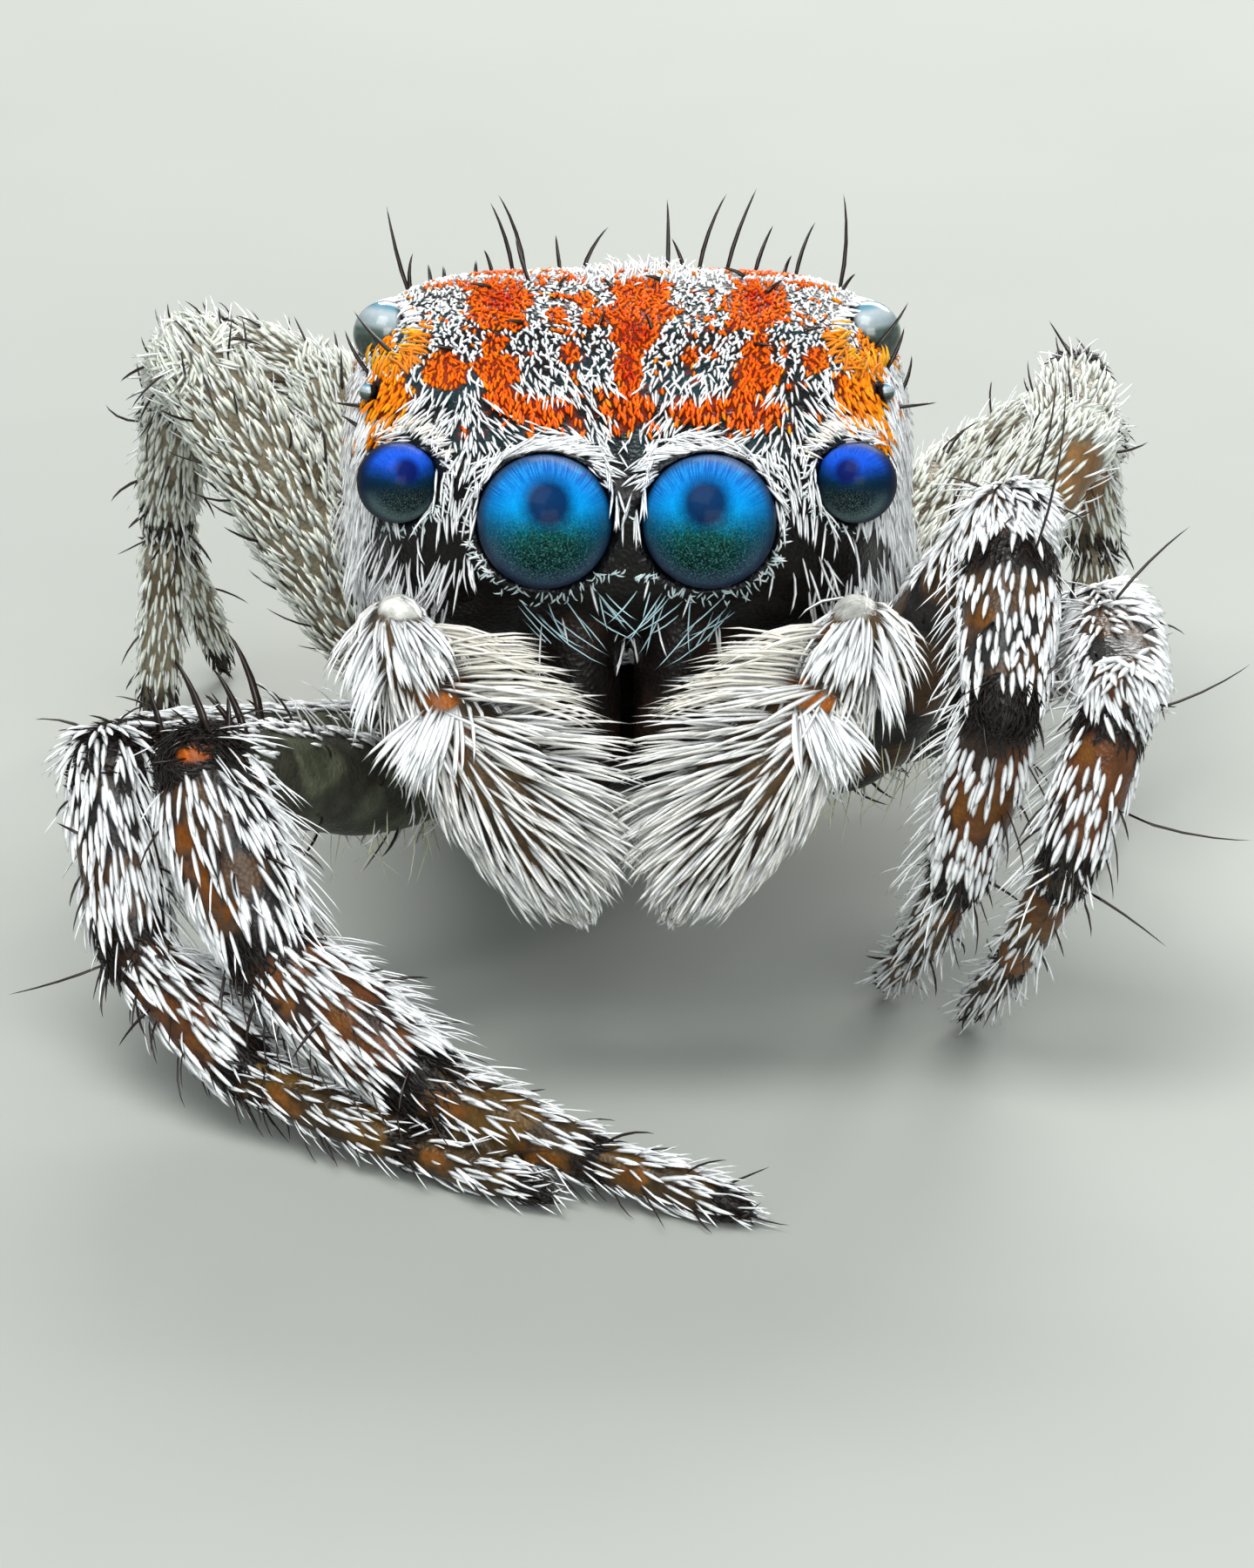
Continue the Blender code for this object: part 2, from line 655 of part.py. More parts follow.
def station_point(station, box, degrees, proud):
    """A point of a body's section at a turn from the side, raised by a small amount."""
    y, half_width, lowest, widest, highest = station
    turn = math.radians(degrees)
    power = 2 / box[math.sin(turn) > 0]
    across = math.copysign(abs(math.cos(turn)) ** power, math.cos(turn))
    upward = math.copysign(abs(math.sin(turn)) ** power, math.sin(turn))
    rise = highest - widest if upward > 0 else widest - lowest
    return vec(((half_width + proud) * across, y, widest + (rise + proud) * upward))


def flap(word):
    """The side flap of the fan, folded round the flank as a thin plate."""
    side = SIDES[word]
    rings = []
    for i in range(FLAP_ROWS):
        share = i / (FLAP_ROWS - 1)
        y = FLAP_SPAN[0] + (FLAP_SPAN[1] - FLAP_SPAN[0]) * share
        proud = FLAP_PROUD * (0.35 + 0.65 * math.sin(math.pi * share))
        station = station_at(ABDOMEN, y)
        outer = [station_point(station, ABDOMEN_BOX, d, proud) for d in FLAP_TURNS]
        inner = [station_point(station, ABDOMEN_BOX, d, -2 * FLAP_PROUD) for d in reversed(FLAP_TURNS)]
        rings.append([mirrored(p, side) for p in outer + inner])
    return loft("flap_" + word, rings, "back_coat")


def spinnerets():
    """A short cluster of spinning organs under the tip of the abdomen."""
    sunk, short, wide, narrow = SPINNERET_BLOCK
    root = vec((0.0, SPINNERET_ROOT[1] - sunk, SPINNERET_ROOT[2]))
    middle = vec((0.0, SPINNERET_TIP[1] - short, SPINNERET_TIP[2]))
    block = tube("spinnerets", *domed([root, middle], [wide, narrow]), LEG_SIDES, "dark_cuticle")
    pair = []
    for word, side in SIDES.items():
        path = [mirrored(SPINNERET_ROOT, side), mirrored(SPINNERET_TIP, side)]
        radii = [SPINNERET_RADIUS, 0.7 * SPINNERET_RADIUS]
        pair.append(tube("spinneret_" + word, *domed(path, radii), LEG_SIDES, "dark_cuticle"))
    fuse(block, pair)
    return block


def pedicel():
    ends = [vec(PEDICEL_FRONT), vec(PEDICEL_BACK)]
    middle = (ends[0] + ends[1]) / 2
    radii = [PEDICEL_RADIUS, 0.85 * PEDICEL_RADIUS, PEDICEL_RADIUS]
    return tube("pedicel", [ends[0], middle, ends[1]], radii, LEG_SIDES, "dark_cuticle")


def surface_tree(made):
    mesh = made.data
    return BVHTree.FromPolygons([v.co for v in mesh.vertices], [p.vertices[:] for p in mesh.polygons])


class Coat:
    """Collects the locks and spines of one solid and fuses them to it, clear of every other solid."""

    def __init__(self, made, trees):
        self.made = made
        self.trees = trees
        self.tree = trees[made.name]
        self.random = random.Random("%s %d" % (made.name, SEED))
        self.pieces = []

    def root(self, inside, outward):
        """Where a ray from inside the solid leaves it, and the outward normal there."""
        place, normal, _, _ = self.tree.ray_cast(Vector(inside), Vector(outward))
        if place is None:
            return None
        normal = vec(normal)
        if normal.dot(outward) < 0:
            normal = -normal
        return vec(place), unit(normal)

    def is_clear(self, points, reach):
        for point in points:
            if point[2] < reach:
                return False
            for name, tree in self.trees.items():
                if name == self.made.name:
                    continue
                near, normal, _, distance = tree.find_nearest(Vector(point))
                if distance < reach or (Vector(point) - near).dot(normal) < 0 and distance < 0.1:
                    return False
        return True

    def middle_line(self, place, normal, lie, length, lift, settle):
        """Points of a lock or spine that leaves the surface at one angle and settles to another."""
        along = unit(lie - normal * normal.dot(lie))
        points = [place - (normal * math.sin(lift) + along * math.cos(lift)) * SINK]
        points[0] -= normal * SINK * SINK_MORE
        step = length / STEPS
        point = place
        for i in range(STEPS):
            turn = lift + (settle - lift) * (i + 0.5) / STEPS
            point = point + (normal * math.sin(turn) + along * math.cos(turn)) * step
            points.append(point)
        return points, np.cross(along, normal)

    def grow(self, place, normal, lie, length, width, thick, lift, settle, shares):
        """One tapered piece of three-sided section, or nothing where there is no room for it."""
        for turned in SWINGS:
            swing = Matrix.Rotation(math.radians(turned), 3, Vector(normal))
            way = vec(swing @ Vector(lie))
            points, side = self.middle_line(place, normal, way, length, lift, settle)
            if self.is_clear(points[2:], CLEAR + thick):
                break
        else:
            return
        rings = []
        for point, after, share in zip(points, points[1:], shares):
            along = unit(after - point)
            up = np.cross(side, along)
            half = 0.5 * width * share
            rings.append([point + side * half, point + up * thick * share, point - side * half])
        self.pieces.append(point_loft(self.made.name + "_piece", rings, points[-1], self.made))

    def lock(self, kind, inside, outward, lie):
        found = self.root(inside, outward)
        if found is None:
            return
        length, width, thick, lift, settle = LOCKS[kind]
        vary = self.random.uniform
        self.grow(
            *found, lie, length * vary(0.85, 1.1), width * vary(0.9, 1.15), thick,
            math.radians(lift + vary(-5, 5)), math.radians(settle + vary(-4, 6)), LOCK_WIDTHS,
        )

    def spine(self, kind, inside, outward, lie, length=None):
        found = self.root(inside, outward)
        if found is None:
            return
        usual, width, lift, settle = SPINES[kind]
        vary = self.random.uniform
        self.grow(
            *found, lie, (length or usual) * vary(0.9, 1.1), width, 0.87 * width,
            math.radians(lift + vary(-6, 6)), math.radians(settle + vary(-6, 6)), SPINE_WIDTHS,
        )

    def fuse(self):
        if self.pieces:
            fuse(self.made, self.pieces, "MANIFOLD")
            self.trees[self.made.name] = surface_tree(self.made)


def point_loft(name, rings, tip, like):
    """Close a skin over small rings of three that end in a point."""
    points = [p for ring in rings for p in ring] + [tip]
    faces = [(2, 1, 0)]
    last = 3 * (len(rings) - 1)
    for low in range(0, last, 3):
        for i in range(3):
            j = (i + 1) % 3
            faces.append((low + i, low + j, low + 3 + j))
            faces.append((low + i, low + 3 + j, low + 3 + i))
    faces += [(last + i, last + (i + 1) % 3, len(points) - 1) for i in range(3)]
    made = mesh_object(name, points, faces, like.data.materials[0].name)
    face_outward(made.data)
    return made


def along_path(path, share):
    """A point of a path of straight links at a share of its length, and the direction there."""
    lengths = [np.linalg.norm(b - a) for a, b in zip(path, path[1:])]
    left = share * sum(lengths)
    for a, b, length in zip(path, path[1:], lengths):
        if left <= length:
            return a + (b - a) * left / length, (b - a) / length
        left -= length
    return path[-1], unit(path[-1] - path[-2])


def round_path(path, share, back, degrees):
    """Inside point, outward direction and tangent at a share along a limb and a turn round it."""
    inside, tangent = along_path(path, share)
    back = unit(back - tangent * back.dot(tangent))
    across = np.cross(tangent, back)
    turn = math.radians(degrees)
    return inside, back * math.cos(turn) + across * math.sin(turn), tangent


def coat_limb(coat, path, back, locks, spines, side):
    kind, shares, turns = locks
    for row, share in enumerate(shares):
        for turn in turns:
            nudge = coat.random.uniform(-0.04, 0.04)
            inside, outward, tangent = round_path(path, share + nudge, back, side * turn + 12 * (row % 2))
            coat.lock(kind, inside, outward, tangent)
    kind, places = spines
    for share, turn in places:
        inside, outward, tangent = round_path(path, share, back, side * turn)
        coat.spine(kind, inside, outward, tangent)


def coat_leg(pieces, word, number, trees):
    """Fringes and spines of one leg, length by length."""
    side = SIDES[word]
    knee, toe, bow = (vec(p) for p in POSE[word, number])
    joints = shin_chain(knee, toe, SHIN_LENGTHS[number], BEND_SHARES[number], bow)
    hip = mirrored(HIP[number], side)
    paths = ([hip, knee], joints[0:2], joints[1:3], joints[2:])
    backs = (vec((0, 0, 1)), bow, bow, bow)
    for made, path, back, part in zip(pieces, paths, backs, ("femur", "patella", "tibia", "foot")):
        coat = Coat(made, trees)
        coat_limb(coat, path, back, LEG_LOCKS[part], LEG_SPINES[part], side)
        for node, share, way, length in LONG_BRISTLES:
            if node == made.name:
                inside, _, tangent = round_path(path, share, back, 0)
                coat.spine("long", inside, unit(vec(way)), tangent, length)
        coat.fuse()


def coat_palp(pieces, word, trees):
    """The palp's long hair: a fan over the joint and a brush over the bulb."""
    side = SIDES[word]
    hip, knee, bend, wrist, middle, tip = (
        mirrored(p, side) for p in (PALP_HIP, PALP_KNEE, PALP_BEND, PALP_WRIST, BULB_MIDDLE, BULB_TIP)
    )
    front = vec((0, -1, 0))
    paths = (
        [hip, knee],
        [bezier(knee, bend, wrist, s) for s in (0.0, 0.25, 0.5, 0.75, 1.0)],
        [bezier(wrist, middle, tip, s) for s in (0.0, 0.25, 0.5, 0.75, 1.0)],
    )
    for made, path, part in zip(pieces, paths, PALP_LOCKS):
        coat = Coat(made, trees)
        kind, shares, count = PALP_LOCKS[part]
        for row, share in enumerate(shares):
            for i in range(count):
                turn = 360 * (i + 0.5 * (row % 2)) / count + coat.random.uniform(-8, 8)
                inside, outward, tangent = round_path(path, share, front, turn)
                coat.lock(kind, inside, outward, tangent)
        coat.fuse()


def coat_head(head, trees):
    """Black bristles over the eyes and a white fringe down each cheek."""
    coat = Coat(head, trees)
    for side in SIDES.values():
        for distance, y, lean, length in HEAD_BRISTLES:
            inside = mirrored((distance + coat.random.uniform(-0.03, 0.03), y, HEAD_INSIDE), side)
            lie = mirrored((lean, BRISTLE_BACK, 0.0), side)
            coat.spine("bristle", inside, vec((0, 0, 1)), lie, length)
        for y, z in SIDE_BRISTLES:
            outward = mirrored((1, 0, 0), side)
            coat.spine("bristle", (0, y, z), outward, vec(SIDE_BRISTLE_LIE), SIDE_BRISTLE_LENGTH)
        for i in range(CHEEK_LOCKS):
            y = CHEEK_SPAN[0] + (CHEEK_SPAN[1] - CHEEK_SPAN[0]) * i / (CHEEK_LOCKS - 1)
            z = CHEEK_HEIGHT - CHEEK_STAGGER * (i % 2)
            coat.lock("cheek", (0, y, z), mirrored((1, 0, 0), side), vec(CHEEK_LIE))
    coat.fuse()


def coat_belly(belly, trees):
    """Long pale hair at the front, flanks and tip of the abdomen, lying backward."""
    coat = Coat(belly, trees)
    for y, turns in FLANK_ROWS:
        widest = station_at(ABDOMEN, y)[3]
        for side in SIDES.values():
            for turn in turns:
                angle = math.radians(turn + coat.random.uniform(-6, 6))
                outward = mirrored((math.cos(angle), 0, math.sin(angle)), side)
                coat.lock("flank", (0, y, widest), outward, vec(FLANK_LIE))
    coat.fuse()


def fuse(made, pieces, solver="EXACT"):
    """Join closed pieces to a solid by one union and drop the pieces."""
    group = bpy.data.collections.new("pieces")
    bpy.context.scene.collection.children.link(group)
    for piece in pieces:
        for old in piece.users_collection:
            old.objects.unlink(piece)
        group.objects.link(piece)
    apply_boolean(made, "UNION", solver, tools=group)
    for piece in pieces:
        bpy.data.objects.remove(piece)
    bpy.data.collections.remove(group)
    keep_largest(made)


def finish(made):
    """Scale a solid to metres, move it to the origin, and shade it smooth."""
    move = Matrix.Translation((-ORIGIN_X, -ORIGIN_Y, 0.0))
    made.data.transform(Matrix.Scale(MM, 4) @ move)
    made.data.shade_smooth()
    made.data.set_sharp_from_angle(angle=math.radians(SMOOTH_ANGLE))


def clear_scene():
    for old in list(bpy.data.objects):
        bpy.data.objects.remove(old)


def collection(name):
    made = bpy.data.collections.new(name)
    bpy.context.scene.collection.children.link(made)
    return made


def build():
    clear_scene()
    collection(COLLECTION)
    collection(CUTTERS)
    head = body_loft("carapace", CARAPACE, CARAPACE_BOX, CARAPACE_SIDES, "face_coat")
    fuse(head, [eye_rim(kind, word) for kind in EYE_YAW for word in SIDES])
    belly = body_loft("abdomen", ABDOMEN, ABDOMEN_BOX, ABDOMEN_SIDES, "back_coat")
    fuse(belly, [flap(word) for word in SIDES])
    eyes = [eye(kind, word) for kind in EYES for word in SIDES]
    clear_of(head, *eyes)
    plate = sternum()
    clear_of(plate, head)
    waist = pedicel()
    clear_of(waist, head, plate, belly)
    spinner = spinnerets()
    clear_of(spinner, belly)
    jaws = [chelicera(word) for word in SIDES]
    for jaw in jaws:
        clear_of(jaw, head, plate, *eyes[:2])
    palps = [palp(word) for word in SIDES]
    for pieces in palps:
        clear_of(pieces[0], head, plate, *jaws)
    legs = {(word, number): leg(word, number) for word in SIDES for number in (1, 2, 3, 4)}
    for pieces in legs.values():
        clear_of(pieces[0], head, plate, waist)
    solids = [head, belly, plate, waist, spinner, *eyes, *jaws]
    for pieces in palps + list(legs.values()):
        solids += pieces
    trees = {made.name: surface_tree(made) for made in solids}
    coat_head(head, trees)
    coat_belly(belly, trees)
    for word, pieces in zip(SIDES, palps):
        coat_palp(pieces, word, trees)
    for (word, number), pieces in legs.items():
        coat_leg(pieces, word, number, trees)
    for made in solids:
        finish(made)


build()
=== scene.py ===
"""An adult male peacock spider in life size: its skin, eyes, hair and light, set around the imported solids.

The spider faces -Y, +Z is up, and its left side is at +X. Shapes are worked out in
millimetres, with y measured from the front of the two large eyes, and every mesh is
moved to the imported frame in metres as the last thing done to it.
"""

import math

import bpy
import numpy as np
from mathutils import Matrix, Vector
from mathutils.bvhtree import BVHTree
from mathutils.kdtree import KDTree


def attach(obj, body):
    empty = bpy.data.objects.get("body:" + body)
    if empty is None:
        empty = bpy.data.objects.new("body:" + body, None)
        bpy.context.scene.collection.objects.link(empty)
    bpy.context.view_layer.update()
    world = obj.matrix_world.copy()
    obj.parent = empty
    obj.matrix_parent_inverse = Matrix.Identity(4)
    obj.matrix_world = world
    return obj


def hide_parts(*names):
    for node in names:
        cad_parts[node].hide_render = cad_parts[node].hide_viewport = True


MM = 0.001
ORIGIN = np.array((0.0, 1.57, 0.0))
SIDES = {"right": -1, "left": 1}
LENGTHS = ("femur", "patella", "tibia", "foot")

# The view: aim point, height of the picture there, distance, and angle below the horizon in degrees.
AIM = np.array((0.0, -0.259, 1.008))
VIEW_HEIGHT = 4.5
VIEW_DISTANCE = 50.0
VIEW_DOWN = 20.0
SENSOR = 36.0
PIXEL = 0.0025
PICTURE = (1440, 1800)
MIDLINE = PICTURE[0] // 2

VOXEL = 0.021
SKIN_DEPTH = 0.028
# The lowest height of hair and of the skin.
GROUND = 0.004
SKIN_FLOOR = 0.003
# The skin turns dark between these distances from an eye: the eye's dark rim together with painted shade of
# its socket.
SOCKET_EDGE = (0.004, 0.026)

# Body sections: y, half width, lowest z, widest z, highest z, as in the solids.
CARAPACE = (
    (0.150, 0.02, 1.56, 1.58, 1.60),
    (0.152, 0.26, 1.46, 1.58, 1.70),
    (0.17, 0.42, 1.38, 1.58, 1.77),
    (0.24, 0.56, 1.30, 1.56, 1.82),
    (0.36, 0.70, 1.20, 1.54, 1.86),
    (0.55, 0.78, 1.08, 1.50, 1.93),
    (0.80, 0.81, 1.00, 1.46, 2.06),
    (1.08, 0.83, 0.97, 1.42, 2.12),
    (1.35, 0.80, 0.97, 1.36, 2.04),
    (1.62, 0.72, 0.97, 1.28, 1.86),
    (1.88, 0.58, 0.98, 1.20, 1.56),
    (2.04, 0.40, 1.00, 1.14, 1.30),
    (2.10, 0.24, 1.04, 1.13, 1.22),
    (2.11, 0.02, 1.11, 1.13, 1.15),
)
CARAPACE_BOX = (3.2, 4.6)
ABDOMEN = (
    (2.168, 0.02, 1.13, 1.14, 1.15),
    (2.17, 0.16, 1.00, 1.14, 1.28),
    (2.21, 0.32, 0.88, 1.15, 1.42),
    (2.35, 0.50, 0.75, 1.12, 1.55),
    (2.62, 0.64, 0.64, 1.06, 1.56),
    (3.00, 0.72, 0.55, 0.97, 1.44),
    (3.40, 0.71, 0.50, 0.88, 1.29),
    (3.80, 0.60, 0.49, 0.80, 1.11),
    (4.06, 0.42, 0.52, 0.75, 0.96),
    (4.18, 0.24, 0.58, 0.73, 0.86),
    (4.20, 0.02, 0.72, 0.73, 0.74),
)
ABDOMEN_BOX = (2.2, 2.2)
FLAP_SPAN = (2.62, 4.02)
FLAP_TURNS = (18, -54)
FLAP_PROUD = 0.035

STERNUM = ((0.0, 1.08, 0.80), (0.36, 0.74, 0.16))
ENDITE = ((0.17, 0.46, 0.80), (0.15, 0.15, 0.15))
PEDICEL = ((0.0, 1.98, 1.06), (0.0, 2.36, 1.10), 0.12)
CHELICERA = ((0.165, 0.34, 1.46), (0.13, 0.26, 0.76), 0.145)
SPINNERET = ((0.08, 4.06, 0.71), (0.11, 4.32, 0.66), 0.055)

# Eyes of one side: distance from the midline, y, z, radius, and the turn outward in degrees.
EYES = {
    "front_middle": (0.2375, 0.195, 1.649, 0.195, 2),
    "front_side": (0.6625, 0.330, 1.720, 0.118, 12),
    "small": (0.750, 0.700, 1.870, 0.028, 70),
    "rear": (0.705, 1.000, 1.950, 0.095, 62),
}
EYE_CLEAR = 0.005
# The y at which the head is highest in the picture.
CREST = 1.02
# Raised ring of skin round each eye: thickness, and how far behind the eye's middle as a share of its radius.
EYE_RINGS = {
    "front_middle": (0.016, 0.22), "front_side": (0.013, 0.22), "rear": (0.014, 0.30), "small": (0.006, 0.3),
}
# How far the axis of an eye's socket points up.
SOCKET_RISE = {"front_middle": 0.0, "front_side": 0.0, "rear": 0.45, "small": 0.2}
# Where the pattern in each eye looks: outward and up, in degrees.
LOOKS = {"front_middle": (-4, 16), "front_side": (-17, 16), "small": (70, 12), "rear": (62, 24)}

SHIN_LENGTHS = {
    1: (0.58, 0.62, 0.54, 0.46),
    2: (0.56, 0.56, 0.52, 0.50),
    3: (0.46, 0.62, 0.62, 0.44),
    4: (0.45, 0.60, 0.60, 0.45),
}
BEND_SHARES = {1: (0.6, 0.3, 0.1), 2: (0.6, 0.3, 0.1), 3: (0.5, 0.35, 0.15), 4: (0.5, 0.35, 0.15)}
COXA_ROOT = {1: (0.26, 0.62, 0.80), 2: (0.28, 0.92, 0.80), 3: (0.28, 1.22, 0.80), 4: (0.24, 1.50, 0.80)}
HIP = {1: (0.58, 0.54, 0.68), 2: (0.63, 0.88, 0.70), 3: (0.62, 1.20, 0.72), 4: (0.54, 1.54, 0.74)}
POSE = {
    ("right", 1): ((-1.23, -0.20, 1.04), (0.31, -1.16, 0.06), (-1.0, 0.1, -1.3)),
    ("right", 2): ((-1.50, 0.20, 0.90), (-0.25, -1.05, 0.06), (-1.0, 0.1, -1.0)),
    ("right", 3): ((-1.26, 1.02, 1.86), (-1.42, 1.80, 0.06), (-0.1, 1.0, 0.3)),
    ("right", 4): ((-0.89, 2.30, 1.33), (-1.25, 3.45, 0.06), (-0.8, 0.3, 0.8)),
    ("left", 1): ((1.11, 0.20, 1.64), (0.77, 0.67, 0.06), (0.1, -1.0, 0.0)),
    ("left", 2): ((1.395, 0.35, 1.28), (1.01, 0.43, 0.06), (0.05, -1.0, 0.0)),
    ("left", 3): ((1.31, 1.85, 1.29), (1.40, 1.75, 0.06), (0.1, 1.0, 0.0)),
    ("left", 4): ((0.975, 2.40, 1.00), (1.12, 3.75, 0.06), (0.7, 0.4, 0.4)),
}
# Radius over the coat: coxa, femur, patella, tibia, metatarsus, tarsus.
LEG_RADII = {
    1: (0.135, 0.175, 0.165, 0.140, 0.098, 0.080),
    2: (0.135, 0.170, 0.160, 0.135, 0.094, 0.078),
    3: (0.135, 0.170, 0.150, 0.120, 0.088, 0.072),
    4: (0.135, 0.160, 0.140, 0.115, 0.082, 0.070),
}
# How many times each radius from the patella on, for a leg whose coat stands up more than its pair's does.
FULLER = {("right", 1): (1.15, 1.18, 1.14, 1.08)}
HIP_SWEEP = 0.33
PALP_SWEEP = 0.16
SEGMENT_SHAPE = ((0.0, 0.80), (0.12, 0.93), (0.35, 1.0), (0.62, 0.98), (0.88, 0.88), (1.0, 0.80))
PALP_ROOT = (0.27, 0.50, 0.80)
PALP_HIP = (0.45, 0.34, 0.90)
PALP_KNEE = (0.66, 0.10, 1.38)
PALP_BEND = (0.69, -0.04, 1.40)
PALP_WRIST = (0.53, -0.12, 1.16)
BULB_MIDDLE = (0.27, -0.16, 0.88)
BULB_TIP = (0.155, -0.06, 0.59)
PALP_RADII = {"coxa": 0.10, "femur": 0.115, "patella": 0.12, "tibia": 0.125, "bulb": 0.175}
BULB_SHAPE = ((0.0, 0.66), (0.20, 0.92), (0.45, 1.0), (0.70, 0.90), (0.88, 0.66), (1.0, 0.40))


def vec(values):
    return np.array(values, float)


def unit(vectors):
    return vectors / np.maximum(np.linalg.norm(vectors, axis=-1, keepdims=True), 1e-12)


def mirrored(point, side):
    return vec((side * point[0], point[1], point[2]))


def hue(red, green, blue):
    """A colour from screen values of 0 to 255, made linear."""
    shares = np.array((red, green, blue), float) / 255
    return np.where(shares <= 0.04045, shares / 12.92, ((shares + 0.055) / 1.055) ** 2.4)


def smooth(low, high, values):
    """0 below low, 1 above high, and an even ramp between."""
    share = np.clip((values - low) / (high - low), 0, 1)
    return share * share * (3 - 2 * share)


def blend_hues(first, second, share):
    return first + (second - first) * np.asarray(share)[..., None]


def between(first, last, share):
    """Places on the line between two, one row for each share."""
    return vec(first) + (vec(last) - vec(first)) * share[:, None]


ACROSS = vec((1, 0, 0))
FRONT = vec((0, -1, 0))
UP = vec((0, 0, 1))
DOWNWARD = math.radians(VIEW_DOWN)
AHEAD = vec((0, math.cos(DOWNWARD), -math.sin(DOWNWARD)))
RISE = vec((0, math.sin(DOWNWARD), math.cos(DOWNWARD)))


# Shapes of the body.


class Round:
    """What limbs and balls share: even turns, and how many points, along and across, stand for one."""

    net = (26, 20)

    def turn_at(self, part):
        """The turn that lies at an even part of the way round."""
        return part * 2 * math.pi


class Limb(Round):
    """A round limb: points on it are found by the share along it and the turn round it from its back."""

    def __init__(self, name, path, radii, back, depth=SKIN_DEPTH, samples=60):
        self.name = name
        path = np.array(path, float)
        steps = np.linalg.norm(np.diff(path, axis=0), axis=1)
        places = np.concatenate(([0.0], np.cumsum(steps)))
        self.length = places[-1]
        self.shares = np.linspace(0, 1, samples)
        along = self.shares * self.length
        self.path = np.stack([np.interp(along, places, path[:, i]) for i in range(3)], 1)
        evened(self.path, 3)
        self.radii = np.interp(along, places, radii) - depth
        evened(self.radii, 2)
        self.tangents = unit(np.gradient(self.path, axis=0))
        first = []
        start = vec(back)
        for tangent in self.tangents:
            start = unit(start - tangent * start.dot(tangent))
            first.append(start)
        self.first = np.array(first)
        self.second = np.cross(self.tangents, self.first)

    def read(self, values, share):
        return np.stack([np.interp(share, self.shares, values[:, i]) for i in range(3)], -1)

    def at(self, share, turn):
        """Points, outward directions and directions along. A share past an end goes over its dome."""
        inner = np.clip(share, 0, 1)
        radius = np.interp(inner, self.shares, self.radii)
        swing = np.clip((share - inner) * self.length / radius, -1.5, 1.5)[..., None]
        side = self.read(self.first, inner) * np.cos(turn)[..., None]
        side = unit(side + self.read(self.second, inner) * np.sin(turn)[..., None])
        tangent = self.read(self.tangents, inner)
        outward = side * np.cos(swing) + tangent * np.sin(swing)
        along = tangent * np.cos(swing) - side * np.sin(swing)
        return self.read(self.path, inner) + outward * radius[..., None], outward, along

    def dome(self, end):
        """How far past an end the shares reach to cover its dome."""
        return 1.3 * self.radii[end] / self.length

    def area(self):
        return self.length * 2 * math.pi * self.radii.mean()

    def rings(self, sides=20):
        """Rings along the limb, with those of a dome at each end."""
        turns = np.linspace(0, 2 * math.pi, sides, endpoint=False)
        ends = []
        for end, sign in ((0, -1), (-1, 1)):
            made = []
            for dome in np.radians((20, 40, 60, 78)):
                centre = self.path[end] + sign * self.tangents[end] * self.radii[end] * math.sin(dome)
                made.append(self.ring(centre, end, self.radii[end] * math.cos(dome), turns))
            ends.append(made)
        body = [self.ring(self.path[i], i, self.radii[i], turns) for i in range(len(self.path))]
        return ends[0][::-1] + body + ends[1]

    def ring(self, centre, i, radius, turns):
        return centre + radius * (
            np.cos(turns)[:, None] * self.first[i] + np.sin(turns)[:, None] * self.second[i]
        )


def evened(rows, times):
    """Draw each inner row towards the mean of its neighbours, so many times."""
    for _ in range(times):
        rows[1:-1] = (rows[:-2] + 2 * rows[1:-1] + rows[2:]) / 4


